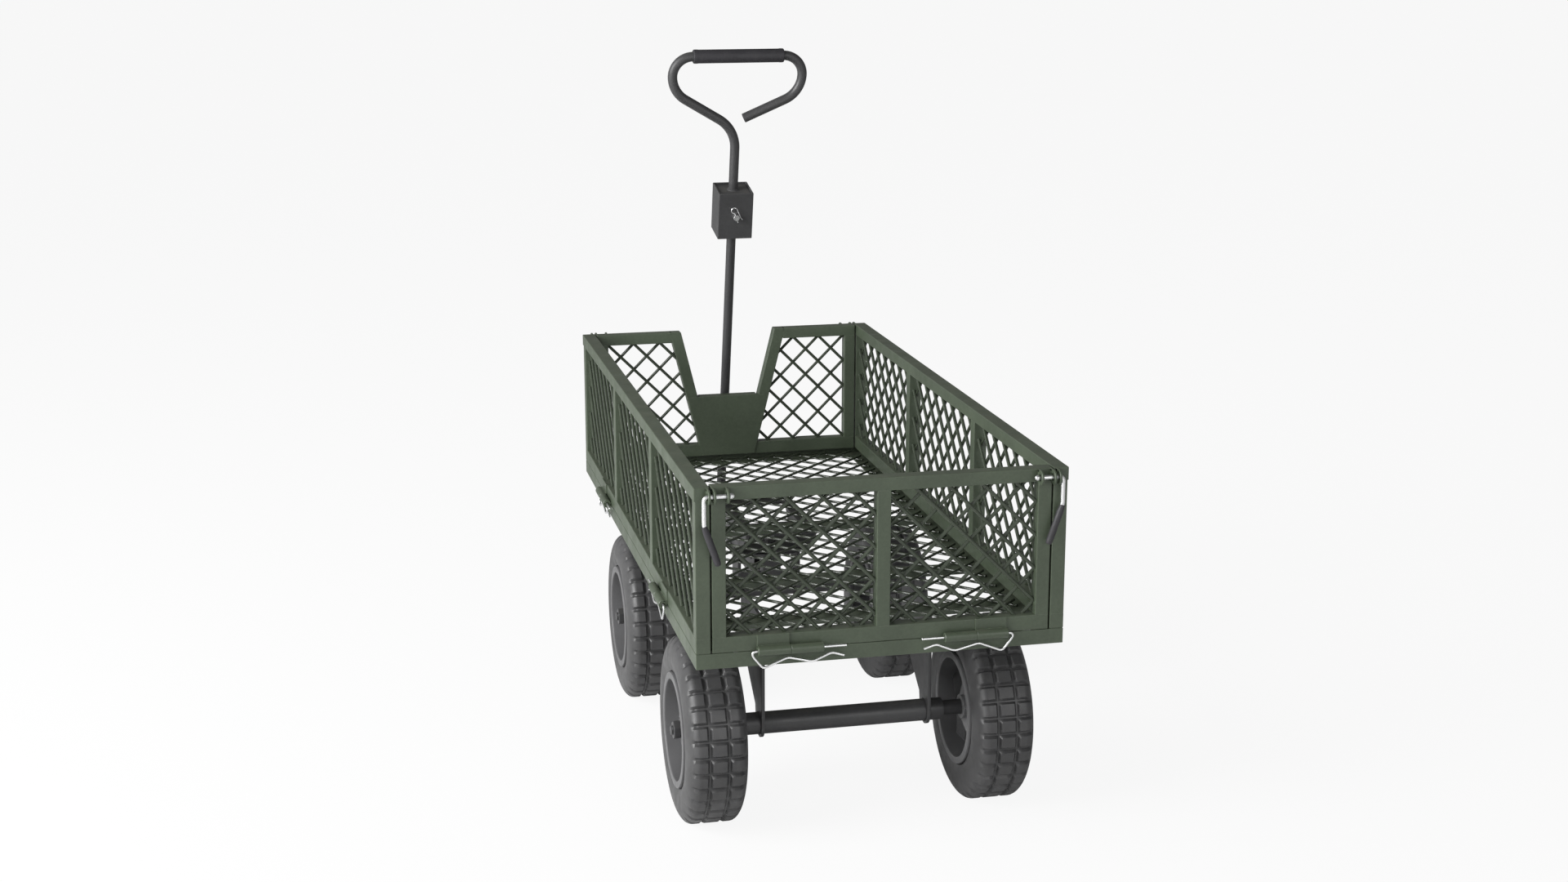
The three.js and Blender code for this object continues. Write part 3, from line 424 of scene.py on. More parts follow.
def powder_coat(name, colour, lighter_edge, roughness):
    """Satin powder coat: fine orange peel, faint blotches, dust on level faces, lighter worn edges."""
    material, tree, shader = blank(name)
    blotches = noise(tree, 14, 4)
    speckle = noise(tree, 260, 3, 0.6)
    shade = math_node(tree, "MULTIPLY", spread(tree, blotches, 0.90, 1.08), spread(tree, speckle, 0.94, 1.06))
    base = shaded(tree, colour, shade)
    patches = spread(tree, noise(tree, 95, 4, 0.7), 0.0, 1.0)
    wear = math_node(tree, "MULTIPLY", edge_share(tree, 0.0016), patches)
    coloured = blend_colour(tree, math_node(tree, "MULTIPLY", wear, 0.45), base, lighter_edge)
    normal = add_node(tree, "ShaderNodeNewGeometry").outputs["Normal"]
    up = add_node(tree, "ShaderNodeSeparateXYZ", {0: normal}).outputs["Z"]
    level = spread(tree, up, 0.0, 1.0, (0.75, 1.0))
    dust = math_node(tree, "MULTIPLY", level, spread(tree, noise(tree, 48, 5, 0.65), 0.0, 0.12))
    dusty = blend_colour(tree, dust, coloured, rgb(150, 146, 132))
    tree.links.new(dusty, shader.inputs["Base Color"])
    rough = math_node(tree, "ADD", spread(tree, noise(tree, 30, 4), roughness - 0.05, roughness + 0.07),
                      math_node(tree, "MULTIPLY", dust, 1.2))
    tree.links.new(rough, shader.inputs["Roughness"])
    peel = bump(tree, noise(tree, 620, 2, 0.4), 0.00012, 0.35)
    waves = bump(tree, noise(tree, 60, 2, 0.5), 0.0004, 0.10, peel)
    tree.links.new(waves, shader.inputs["Normal"])
    shader.inputs["Specular IOR Level"].default_value = 0.55
    return material


def bright_zinc(name):
    """Bright plated steel with faint spangle and fine scratches."""
    material, tree, shader = blank(name)
    spangle = noise(tree, 380, 3)
    tint = blend_colour(tree, spread(tree, spangle, 0.0, 1.0), rgb(240, 241, 242), rgb(253, 253, 253))
    tree.links.new(tint, shader.inputs["Base Color"])
    tree.links.new(spread(tree, noise(tree, 140, 4), 0.24, 0.38), shader.inputs["Roughness"])
    tree.links.new(bump(tree, noise(tree, 900, 3, 0.6), 0.00005, 0.25), shader.inputs["Normal"])
    shader.inputs["Metallic"].default_value = 1.0
    return material


def rubber(name, colour, roughness, grain, dust_share):
    """Matt rubber: fine grain, slight mottling and pale dust in patches."""
    material, tree, shader = blank(name)
    shade = spread(tree, noise(tree, 22, 4), 0.85, 1.15)
    base = shaded(tree, colour, shade)
    dust = spread(tree, noise(tree, 60, 5, 0.7), 0.0, dust_share)
    tree.links.new(blend_colour(tree, dust, base, rgb(120, 118, 112)), shader.inputs["Base Color"])
    tree.links.new(spread(tree, noise(tree, 45, 3), roughness - 0.06, roughness + 0.08),
                   shader.inputs["Roughness"])
    tree.links.new(bump(tree, noise(tree, grain, 3, 0.6), 0.0002, 0.35), shader.inputs["Normal"])
    return material


def moulded(name, colour, roughness):
    """Moulded dark rim with a fine satin grain, and a painted highlight that lightens every edge towards pale
    grey.
    """
    material, tree, shader = blank(name)
    shade = spread(tree, noise(tree, 18, 4), 0.92, 1.08)
    base = shaded(tree, colour, shade)
    # painted highlight: every edge of the rim is lightened evenly towards pale grey, as if light catches it
    lighter_edge = math_node(tree, "MULTIPLY", edge_share(tree, 0.002), 0.35)
    tree.links.new(blend_colour(tree, lighter_edge, base, rgb(135, 135, 136)), shader.inputs["Base Color"])
    tree.links.new(spread(tree, noise(tree, 70, 3), roughness - 0.05, roughness + 0.08),
                   shader.inputs["Roughness"])
    tree.links.new(bump(tree, noise(tree, 800, 2), 0.0001, 0.3), shader.inputs["Normal"])
    return material


GREEN = powder_coat("green_coat", rgb(72, 82, 66), rgb(128, 138, 120), 0.42)
ROD_GREEN = powder_coat("rod_coat", rgb(56, 64, 51), rgb(118, 128, 110), 0.22)
CHARCOAL = powder_coat("charcoal_coat", rgb(62, 62, 63), rgb(120, 120, 120), 0.40)
ZINC = bright_zinc("bright_zinc")
TYRE = rubber("tyre_rubber", rgb(64, 64, 65), 0.42, 700, 0.06)
RIM = moulded("rim_paint", rgb(96, 96, 97), 0.40)
GRIP = rubber("grip_rubber", rgb(44, 43, 47), 0.55, 900, 0.04)


# ---------------------------------------------------------------- hinges and latches
ALONG_X = Matrix.Rotation(math.pi / 2, 4, "Y")


def outward(side):
    """Turns +Z to point left (-1) or right (1)."""
    return Matrix.Rotation(side * math.pi / 2, 4, "Y")


def barrel(x0, x1):
    """Half a hinge barrel: a rolled sheet ring with eased ends and a dark bore."""
    ease = 0.0006
    profile = [
        (BORE, x0), (BARREL - ease, x0), (BARREL, x0 + ease), (BARREL, x1 - ease),
        (BARREL - ease, x1), (BORE, x1),
    ]
    place = Matrix.Translation((0, HINGE_OUT, HINGE_UP)) @ ALONG_X
    return lathe(profile, 32, True, place)


def panel_hinge(along, side):
    x0, x1 = sorted((0.0003 * side, BARREL_LENGTH * side))
    top = HINGE_UP + BARREL
    return [
        barrel(along + x0, along + x1),
        block(along + x0, along + x1, -0.001, HINGE_OUT, top - 0.0026, top - 0.0004, 0.0006),
        block(along + x0, along + x1, -0.001, 0.002, HINGE_UP + 0.001, HINGE_UP + LEAF_HEIGHT, 0.0008),
    ]


def tray_hinge(along, side):
    x0, x1 = sorted((0.0, -BARREL_LENGTH * side))
    low = HINGE_UP - BARREL
    return [
        barrel(along + x0, along + x1),
        block(along + x0, along + x1, -0.001, HINGE_OUT, low + 0.0008, low + 0.0030, 0.0006),
    ]


def eyelet(along):
    """A flat ring on a short neck. The ring's hole runs along X."""
    ease = 0.0005
    profile = [
        (EYELET_HOLE, -EYELET_HALF), (EYELET - ease, -EYELET_HALF), (EYELET, -EYELET_HALF + ease),
        (EYELET, EYELET_HALF - ease), (EYELET - ease, EYELET_HALF), (EYELET_HOLE, EYELET_HALF),
    ]
    ring = lathe(profile, 36, True, Matrix.Translation((along, LATCH_OUT, LATCH_UP)) @ ALONG_X)
    x0 = along - EYELET_HALF + 0.0002
    x1 = along + EYELET_HALF - 0.0002
    neck_low = LATCH_UP - EYELET + 0.001
    neck = block(x0, x1, -0.001, LATCH_OUT - EYELET_HOLE, neck_low, PANEL_TOP - 0.0005, 0.0005)
    cap = block(x0, x1, -0.001, LATCH_OUT, LATCH_UP + EYELET_HOLE + 0.0003, PANEL_TOP - 0.0003, 0.0005)
    return [ring, neck, cap]


def hinges_of(face, maker):
    return [part for side in (-1, 1) for part in maker(side * HINGES[face], side)]


# ---------------------------------------------------------------- tray
def tray():
    """Folded skirt with an inward ledge, channels across, and the fixed halves of the hinges."""
    section = [
        (0, 0), (0, SKIRT), (SHEET, SKIRT), (SHEET, LEDGE_TOP), (LEDGE_WIDTH, LEDGE_TOP),
        (LEDGE_WIDTH, LEDGE_TOP - SHEET), (SHEET, LEDGE_TOP - SHEET), (SHEET, 0),
    ]
    rings = []
    for sx, sy in ((-1, -1), (1, -1), (1, 1), (-1, 1)):
        rings.append([(sx * (HALF_W - inset), sy * (HALF_L - inset) + CENTRE_Y, TRAY_Z + height)
                      for inset, height in section])
    parts = [rounded(skin(rings, closed=True), 0.0009)]
    low = TRAY_Z + 0.0004
    top = TRAY_Z + LEDGE_TOP - 0.0006
    reach = HALF_W - SHEET + 0.001
    for member in CROSS_MEMBERS:
        y0 = CENTRE_Y + member - CROSS_HALF
        y1 = CENTRE_Y + member + CROSS_HALF
        parts.append(block(-reach, reach, y0, y1, top - SHEET, top))
        parts.append(block(-reach, reach, y0, y0 + SHEET, low, top - 0.0005))
        parts.append(block(-reach, reach, y1 - SHEET, y1, low, top - 0.0005))
    for face, place in FACES.items():
        parts += [turned(part, place) for part in hinges_of(face, tray_hinge)]
    piece("tray", parts, GREEN, "bed", ["tray_frame"])


# ---------------------------------------------------------------- mesh windows
def line_in(outline, slope, offset):
    """Where the line x - slope * z = offset crosses a convex outline, or None."""
    found = []
    for (x0, z0), (x1, z1) in zip(outline, outline[1:] + outline[:1]):
        a = x0 - slope * z0 - offset
        b = x1 - slope * z1 - offset
        if (a > 0) != (b > 0):
            t = a / (a - b)
            found.append(Vector((x0 + t * (x1 - x0), z0 + t * (z1 - z0))))
    if len(found) != 2 or (found[0] - found[1]).length < 3 * ROD:
        return None
    return sorted(found, key=lambda p: p.x)


def crossed_rods(outline, node, pitch=PITCH, front=1, rod=ROD):
    """Two layers of round rods, ends sunk in the frame. Rods with the slope in front lie at +LAYER."""
    rods = []
    for slope in (1, -1):
        first = node[0] - slope * node[1]
        offsets = [x - slope * z for x, z in outline]
        level = slope * front * LAYER
        low = math.ceil((min(offsets) - first) / pitch)
        high = math.floor((max(offsets) - first) / pitch)
        for i in range(low, high + 1):
            ends = line_in(outline, slope, first + i * pitch)
            if not ends:
                continue
            along = (ends[1] - ends[0]).normalized() * ROD_END
            a = ends[0] - along
            b = ends[1] + along
            path = [(a.x, level, a.y), (b.x, level, b.y)]
            rods.append(swept(path, rod, 10, 0.0002))
    return rods


def rectangle(x0, x1, z0, z1):
    return [(x0, z0), (x1, z0), (x1, z1), (x0, z1)]


def window_mesh(name, face, outline, node, body):
    place = FACES[face] @ Matrix.Translation((0, -TUBE / 2, 0))
    piece(f"{name}_rods", crossed_rods(outline, node), ROD_GREEN, body, [name], place)


def floor():
    low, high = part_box("floor_mesh")
    outline = rectangle(low.x + ROD_END, high.x - ROD_END, low.y + ROD_END, high.y - ROD_END)
    lie_flat = Matrix.Translation((0, 0, (low.z + high.z) / 2)) @ Matrix.Rotation(-math.pi / 2, 4, "X")
    rods = crossed_rods(outline, FLOOR_NODE, FLOOR_PITCH, -1, FLOOR_ROD)
    piece("floor_rods", rods, ROD_GREEN, "bed", ["floor_mesh"], lie_flat)


# ---------------------------------------------------------------- panels
def spans(half, posts):
    """The windows between the stiles and posts, as x0 and x1."""
    edges = [-half + STILE / 2, *posts, half - STILE / 2]
    return [(a + STILE / 2, b - STILE / 2) for a, b in zip(edges, edges[1:])]


def rail(x0, x1, z0, z1, proud=0.0):
    return block(x0, x1, -TUBE, proud, z0, z1, EDGE)


def seal(half):
    """A strip that keeps light from leaking through the gap under the bottom rail."""
    return block(-half + 0.001, half - 0.001, -TUBE + 0.001, -SEAL_BACK, SEAL_BASE, WINDOW_LOW - 0.001, 0)


def post(x):
    half = STILE / 2
    return block(x - half, x + half, -TUBE + 0.0001, -0.0001, WINDOW_LOW - 0.001, WINDOW_HIGH + 0.001)


def frame_parts(half, posts, proud):
    """Top and bottom rails with the stiles and posts butted between them."""
    parts = [rail(-half, half, PANEL_BASE, WINDOW_LOW), rail(-half, half, WINDOW_HIGH, PANEL_TOP, proud)]
    ends = (-half + STILE / 2, half - STILE / 2)
    return [*parts, seal(half), *[post(x) for x in (*ends, *posts)]]


def end_eyelets():
    return [part for x in EYELETS_END for side in (-1, 1) for part in eyelet(side * x)]


def tailgate():
    parts = frame_parts(END_HALF, [0.0], 0.0) + hinges_of("rear", panel_hinge) + end_eyelets()
    piece("tailgate", parts, GREEN, "tailgate", ["tailgate_frame"], FACES["rear"])
    right, left = spans(END_HALF, [0.0])
    for word, (x0, x1) in (("right", right), ("left", left)):
        outline = rectangle(x0, x1, WINDOW_LOW, WINDOW_HIGH)
        node = (TAILGATE_NODES[word], NODE_HEIGHT)
        window_mesh(f"tailgate_mesh_{word}", "rear", outline, node, "tailgate")


def side_panel(face, words):
    third = (2 * HALF_L - 4 * STILE) / 3 + STILE
    posts = [-third / 2, third / 2]
    parts = frame_parts(HALF_L, posts, CAP_PROUD) + hinges_of(face, panel_hinge)
    for side in (-1, 1):
        corner = Matrix.Translation((side * HALF_L, -EYELET_SIDE, 0))
        turn = corner @ Matrix.Rotation(-side * math.pi / 2, 4, "Z")
        parts += [turned(part, turn) for part in eyelet(0.0)]
    body = f"side_{face}"
    piece(f"{face}_side", parts, GREEN, body, [f"{face}_side_frame"], FACES[face])
    for word, (x0, x1) in zip(words, spans(HALF_L, posts)):
        outline = rectangle(x0, x1, WINDOW_LOW, WINDOW_HIGH)
        node = ((x0 + x1) / 2, NODE_HEIGHT)
        window_mesh(f"{face}_side_mesh_{word}", face, outline, node, body)


NOTCH_SLOPE = (NOTCH_TOP - NOTCH_BOTTOM) / (PANEL_TOP - NOTCH_FLOOR)
BAR_ACROSS = NOTCH_BAR * math.hypot(1, NOTCH_SLOPE)


def notch_at(z):
    return NOTCH_BOTTOM + NOTCH_SLOPE * (z - NOTCH_FLOOR)


def front_panel():
    """Two meshed wings, with a V notch and a plain plate between them."""
    parts = [rail(-END_HALF, END_HALF, PANEL_BASE, WINDOW_LOW), seal(END_HALF)]
    sunk = WINDOW_LOW - 0.002
    outline = [
        (notch_at(sunk), sunk), (notch_at(sunk) + BAR_ACROSS, sunk),
        (NOTCH_TOP + BAR_ACROSS, PANEL_TOP), (NOTCH_TOP, PANEL_TOP),
    ]
    for side in (-1, 1):
        slanted = [(side * x, z) for x, z in outline]
        parts.append(prism(slanted, -TUBE, 0))
        x0, x1 = sorted((side * (NOTCH_TOP + BAR_ACROSS - 0.004), side * END_HALF))
        parts.append(rail(x0, x1, WINDOW_HIGH, PANEL_TOP))
        parts.append(post(side * (END_HALF - STILE / 2)))
    low = NOTCH_FLOOR - NOTCH_BAR
    bar_half = notch_at(low) + 0.002
    parts.append(block(-bar_half, bar_half, -TUBE + 0.0002, -0.0002, low, NOTCH_FLOOR))
    parts += hinges_of("front", panel_hinge) + end_eyelets()
    piece("front_panel", parts, GREEN, "bed", ["front_frame"], FACES["front"])
    plate_parts = [softened_copy("front_centre_plate", 0.0005)]
    piece("centre_plate", plate_parts, GREEN, "bed", ["front_centre_plate"])
    for word, side in (("right", 1), ("left", -1)):
        outer = side * (END_HALF - STILE)
        window = [
            (side * (notch_at(WINDOW_LOW) + BAR_ACROSS), WINDOW_LOW), (outer, WINDOW_LOW),
            (outer, WINDOW_HIGH), (side * (notch_at(WINDOW_HIGH) + BAR_ACROSS), WINDOW_HIGH),
        ]
        node = (side * (END_HALF - STILE - PITCH), WINDOW_HIGH)
        window_mesh(f"front_mesh_{word}", "front", window, node, "bed")


# ---------------------------------------------------------------- pins
def hinge_pin(face, index, side):
    along = side * HINGES[face]
    corners = [(-0.076, 0.0), (0.049, 0.0), (0.052, -0.0025), (0.051, -0.007), *PIN_WAVES]
    points = [(along + side * x, HINGE_OUT, HINGE_UP + z) for x, z in corners]
    word = WORDS[face][index]
    node = f"hinge_pin_{face}_{word}"
    wire = swept(softened(points, 0.005), WIRE, 14)
    piece(f"{node}_wire", [wire], ZINC, f"pin_{face}_{word}", [node], FACES[face])


def latch(face, side):
    """A bent rod through the eyelets, with a cone and a rubber grip on its hanging leg."""
    word = "right" if side == (-1 if face == "rear" else 1) else "left"
    lean = Matrix.Rotation(math.pi + side * LATCH_GRIP_TILT, 4, "Y")
    down = Matrix.Translation((side * LATCH_BEND, LATCH_OUT, LATCH_GRIP_TOP)) @ lean
    points = [
        (side * LATCH_TIP, LATCH_OUT, LATCH_UP), (side * LATCH_BEND, LATCH_OUT, LATCH_UP),
        (side * LATCH_BEND, LATCH_OUT, LATCH_GRIP_TOP), down @ Vector((0, 0, LATCH_GRIP_LENGTH - 0.005)),
    ]
    rod = swept(softened(points, 0.006), LATCH_ROD, 20, 0.0008)
    inward = Matrix.Translation((side * (LATCH_TIP + 0.0045), LATCH_OUT, LATCH_UP)) @ outward(-side)
    nub_profile = [
        (0, -0.0025), (0.0030, -0.0022), (0.0039, 0.0), (0.0039, 0.0018), (0.0028, 0.0034), (0, 0.0036),
    ]
    nub = lathe(nub_profile, 24, turn=inward)
    body = f"latch_{face}_{word}"
    node = f"latch_pin_{face}_{word}"
    piece(f"{node}_rod", [rod, nub], ZINC, body, [node], FACES[face])
    profile = [(LATCH_ROD + 0.0003, 0.0008), (LATCH_ROD + 0.0007, 0.0), (0.0039, 0.0030), (0.0047, 0.0100)]
    profile += [(0.0047, 0.050), (0.0044, 0.054), (0.0034, 0.0563), (0.0, 0.057)]
    sleeve = lathe(profile, 32, turn=down)
    node = f"latch_grip_{face}_{word}"
    piece(f"{node}_sleeve", [sleeve], GRIP, body, [node], FACES[face])


# ---------------------------------------------------------------- wheels
def plateau(value, half, wall):
    """1 inside half, 0 beyond half + wall, with a straight slope between."""
    return min(1.0, max(0.0, (half + wall - abs(value)) / wall))


def tyre_stations():
    """Half of the tyre's profile from the middle out: (x, radius, outward x, outward radius)."""
    reach = RING_FLOOR + RING_WALL
    ring_edges = [RING_AT + d for d in (-reach, -RING_FLOOR, RING_FLOOR, reach)]
    flat = (0, 0.0045, *ring_edges, 0.0220, 0.0260)
    stations = [(x, TYRE_RADIUS, 0.0, 1.0) for x in flat]
    for degrees in (8, 16, 24, 30, 36, 42, 50, 58, 66, 74, 82, 90):
        t = math.radians(degrees)
        stations.append((0.026 + 0.0175 * math.sin(t), 0.103 + 0.031 * math.cos(t), math.sin(t), math.cos(t)))
    sidewall = [(0.0431, 0.0960), (0.0414, 0.0890), (0.0396, 0.0842), (0.0350, 0.0834)]
    return stations + [(x, radius, 1, 0) for x, radius in sidewall]


def tread_groove(x, arc):
    """Share of the full tread depth at a place: arc is the distance from the nearest cross groove."""
    ring = plateau(abs(x) - RING_AT, RING_FLOOR, RING_WALL)
    shoulder = plateau(x, 0.0330, 0.0060)
    across = plateau(arc, CROSS_FLOOR, CROSS_WALL) * shoulder
    return max(ring, across)


def tyre(word, side, centre):
    half = tyre_stations()
    profile = [(-x, r, -nx, nr) for x, r, nx, nr in reversed(half[1:])] + half
    row = 2 * math.pi / TREAD_ROWS
    edge = CROSS_FLOOR + CROSS_WALL
    arcs = [a / TYRE_RADIUS for a in (-edge, -CROSS_FLOOR, CROSS_FLOOR, edge)]
    rest = [arcs[-1] + (row - arcs[-1] + arcs[0]) * share for share in (0.2, 0.5, 0.8)]
    rings = []
    for index in range(TREAD_ROWS):
        for offset in (*arcs, *rest):
            angle = TREAD_PHASE + index * row + offset
            arc = min(abs(offset), abs(row - offset)) * TYRE_RADIUS
            ring = []
            for x, radius, nx, nr in profile:
                depth = TREAD_DEPTH * tread_groove(x, arc)
                r = radius - nr * depth
                ring.append((side * (x - nx * depth), r * math.cos(angle), r * math.sin(angle)))
            rings.append(ring)
    place = Matrix.Translation(centre)
    node = f"tyre_{word}"
    piece(f"{node}_tread", [skin(rings, closed=True)], TYRE, f"wheel_{word}", [node], place, 40)


def spoke(angle):
    """A leaf spoke, deep and narrow at the hub, shallow and wide at the drum, ridged front and back."""
    rings = []
    for radius in (SPOKE_FROM, 0.0230, 0.0310, 0.0400, 0.0500, 0.0600, 0.0680, SPOKE_TO):
        t = (radius - SPOKE_FROM) / (SPOKE_TO - SPOKE_FROM)
        half = 0.0060 + 0.0110 * t ** 0.8
        deep = 0.0330 - 0.0110 * t
        shoulder = 0.62 * deep
        section = [
            (0, deep), (half, shoulder), (half, -shoulder), (0, -deep), (-half, -shoulder), (-half, shoulder),
        ]
        rings.append([Vector((radius, across, depth)) for across, depth in section])
    return turned(rounded(skin(rings), 0.0012, 2), Matrix.Rotation(angle, 4, "Z"))


def rim_parts():
    """Flange and drum, five leaf spokes and a hub. The outer side is at +Z."""
    shell = [
        (0.0815, -0.0380), (0.0815, 0.0370), (0.0829, 0.0384), (0.0830, 0.0415), (0.0822, 0.0432),
        (0.0795, 0.0438), (0.0750, 0.0438), (0.0729, 0.0432), (0.0718, 0.0415), (0.0708, 0.0240),
        (0.0700, 0.0080), (0.0700, -0.0100), (0.0708, -0.0280), (0.0718, -0.0415), (0.0729, -0.0432),
        (0.0750, -0.0438), (0.0795, -0.0438), (0.0822, -0.0432), (0.0830, -0.0415), (0.0829, -0.0394),
    ]
    hub = [
        (0.0116, -HUB_HALF), (0.0175, -HUB_HALF), (0.0190, -HUB_HALF + 0.002), (HUB, -0.012),
        (0.0260, -0.005), (0.0260, 0.005), (HUB, 0.012),
        (0.0190, HUB_HALF - 0.002), (0.0175, HUB_HALF), (0.0116, HUB_HALF),
    ]
    spokes = [spoke(2 * math.pi * index / SPOKES + math.pi) for index in range(SPOKES)]
    return [lathe(shell, 96, True), lathe(hub, 48, True), *spokes]


def wheel(word, side):
    low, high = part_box(f"tyre_{word}")
    centre = (low + high) / 2
    tyre(word, side, centre)
    place = Matrix.Translation(centre) @ outward(side)
    piece(f"rim_{word}_moulding", rim_parts(), RIM, f"wheel_{word}", [f"rim_{word}"], place, 40)
    nut_top = NUT_SEAT + NUT_HEIGHT
    hexagon = [(0, NUT_SEAT), (NUT_RADIUS, NUT_SEAT), (NUT_RADIUS, nut_top), (0, nut_top)]
    nut = rounded(lathe(hexagon, 6), 0.0014)
    washer = lathe([(0.0075, 0.0313), (0.0150, 0.0313), (0.0155, 0.0317), (0.0150, 0.0325), (0.0075, 0.0325)],
                   48, True)
    body = "bed" if word.startswith("rear") else "steering"
    piece(f"wheel_nut_{word}_hex", [nut, washer], CHARCOAL, body, [f"wheel_nut_{word}"], place)


def spindle(half, inner):
    """Profile of a turned spindle with a threaded end, from the tip inwards."""
    thread_from = half - THREAD_LENGTH
    root = THREAD - 0.0007
    profile = [(0, -half), (root - 0.0001, -half)]
    for turn in range(10):
        start = -half + 0.0014 * turn
        profile += [(THREAD, start + 0.0006), (root, start + 0.0013)]
    profile += [(THREAD, -thread_from), (SPINDLE - 0.0005, -thread_from), (SPINDLE, -thread_from + 0.0005)]
    return [*profile, (SPINDLE, -inner)]


def rear_axle():
    """A tube with a turned spindle at each end."""
    low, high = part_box("rear_axle")
    shoulder = [(AXLE_TUBE - 0.0005, -AXLE_TUBE_HALF), (AXLE_TUBE, -AXLE_TUBE_HALF + 0.0005)]
    end = spindle((high.x - low.x) / 2, AXLE_TUBE_HALF + 0.0005) + shoulder
    whole = end + [(r, -x) for r, x in reversed(end)]
    place = Matrix.Translation((low + high) / 2) @ ALONG_X
    piece("rear_axle_turned", [lathe(whole, 48)], CHARCOAL, "bed", ["rear_axle"], place)


def front_axle():
    """A raised tube with a drop plate and a turned spindle at each end."""
    low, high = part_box("front_axle")
    y = (low.y + high.y) / 2
    beam_z = TYRE_RADIUS + FRONT_DROP
    beam_half = AXLE_TUBE_HALF - 0.002
    inner = AXLE_TUBE_HALF - DROP_PLATE
    beam_place = Matrix.Translation((0, y, beam_z))
    ends = [(0, -beam_half), (AXLE_TUBE, -beam_half), (AXLE_TUBE, beam_half), (0, beam_half)]
    parts = [lathe(ends, 48, turn=beam_place @ ALONG_X)]
    lobe = AXLE_TUBE + 0.0045
    weld = [
        (AXLE_TUBE - 0.0005, -inner - 0.0002), (AXLE_TUBE + 0.0028, -inner - 0.0002),
        (AXLE_TUBE + 0.0004, -inner + 0.0028),
    ]
    for side in (-1, 1):
        x0, x1 = sorted((side * inner, side * AXLE_TUBE_HALF))
        parts.append(block(x0, x1, y - lobe, y + lobe, TYRE_RADIUS - AXLE_TUBE, beam_z + lobe, 0.0018))
        facing = Matrix.Translation((0, y, TYRE_RADIUS)) @ outward(-side)
        stub = [*spindle((high.x - low.x) / 2, inner + 0.001), (0, -inner - 0.001)]
        parts.append(lathe(stub, 48, turn=facing))
        parts.append(lathe(weld, 48, True, beam_place @ outward(-side)))
    piece("front_axle_beam", parts, CHARCOAL, "steering", ["front_axle"])


def running_gear():
    rear_axle()
    front_axle()
    for word in ("left", "right"):
        node = f"rear_hanger_{word}"
        piece(f"{node}_plate", [softened_copy(node, 0.0009)], CHARCOAL, "bed", [node])
    piece("front_support_pressing", [softened_copy("front_support", 0.0008)], CHARCOAL, "bed",
          ["front_support"])
    piece("kingpin_bolt", [softened_copy("kingpin", 0.0008)], ZINC, "bed", ["kingpin"])
    piece("steering_fork", [softened_copy("steering_frame", 0.0008)], CHARCOAL, "steering",
          ["steering_frame"])
    piece("pivot_bolt", [softened_copy("handle_pivot_bolt", 0.0007)], ZINC, "steering",
          ["handle_pivot_bolt"])
    for end in ("rear", "front"):
        wheel(f"{end}_left", -1)
        wheel(f"{end}_right", 1)


# ---------------------------------------------------------------- handle
def arc(cx, cz, radius, start, end, steps=18):
    angles = [start + (end - start) * i / steps for i in range(steps + 1)]
    return [(cx + radius * math.cos(a), 0, cz + radius * math.sin(a)) for a in angles]


def loop_path():
    """Up from the box, out to the left, over the grip and back to a free end."""
    widest_z = GRIP_LEVEL - LOOP_UPPER
    upper_x = LOOP_HALF - LOOP_UPPER
    lower_x = LOOP_HALF - LOOP_LOWER
    foot_x = -lower_x - LOOP_LOWER * math.sin(DIAGONAL)
    foot_z = widest_z - LOOP_LOWER * math.cos(DIAGONAL)
    crossing = foot_z + foot_x * math.tan(DIAGONAL)
    neck = crossing - NECK_RADIUS * math.tan((math.pi / 2 - DIAGONAL) / 2)
    quarter = math.pi / 2
    path = [(0, 0, BOX_TOP - 0.006)]
    path += arc(-NECK_RADIUS, neck, NECK_RADIUS, 0, quarter - DIAGONAL)
    path += arc(-lower_x, widest_z, LOOP_LOWER, 3 * quarter - DIAGONAL, math.pi)
    path += arc(-upper_x, widest_z, LOOP_UPPER, math.pi, quarter)[1:]
    path += arc(upper_x, widest_z, LOOP_UPPER, quarter, 0)
    path += arc(lower_x, widest_z, LOOP_LOWER, 0, FREE_DIAGONAL - quarter)[1:]
    last_x = lower_x + LOOP_LOWER * math.sin(FREE_DIAGONAL)
    last_z = widest_z - LOOP_LOWER * math.cos(FREE_DIAGONAL)
    path.append((FREE_END_X, 0, last_z - (last_x - FREE_END_X) * math.tan(FREE_DIAGONAL)))
    return path


def hitch_box():
    """An open square tube with a floor. The loop's collar plate closes its top just below the lip."""
    wall = 0.003
    b = BOX_HALF
    square = rectangle(-b, b, -b, b)
    hole = rectangle(-b + wall, b - wall, -b + wall, b - wall)
    upright = Matrix.Rotation(-math.pi / 2, 4, "X")
    walls = turned(prism(square, -BOX_TOP, -BOX_FLOOR, [hole], EDGE), upright)
    floor_plate = block(-b + 0.001, b - 0.001, -b + 0.001, b - 0.001, BOX_FLOOR + 0.0002, BOX_FLOOR + 0.004)
    boss = lathe([(0.0082, BOX_FLOOR - 0.0010), (0.0100, BOX_FLOOR - 0.0010), (0.0112, BOX_FLOOR + 0.0010),
                  (0.0082, BOX_FLOOR + 0.0010)], 40, True)
    parts = [walls, floor_plate, boss]
    piece("hitch_box_shell", parts, CHARCOAL, "handle", ["hitch_box"], HANDLE)


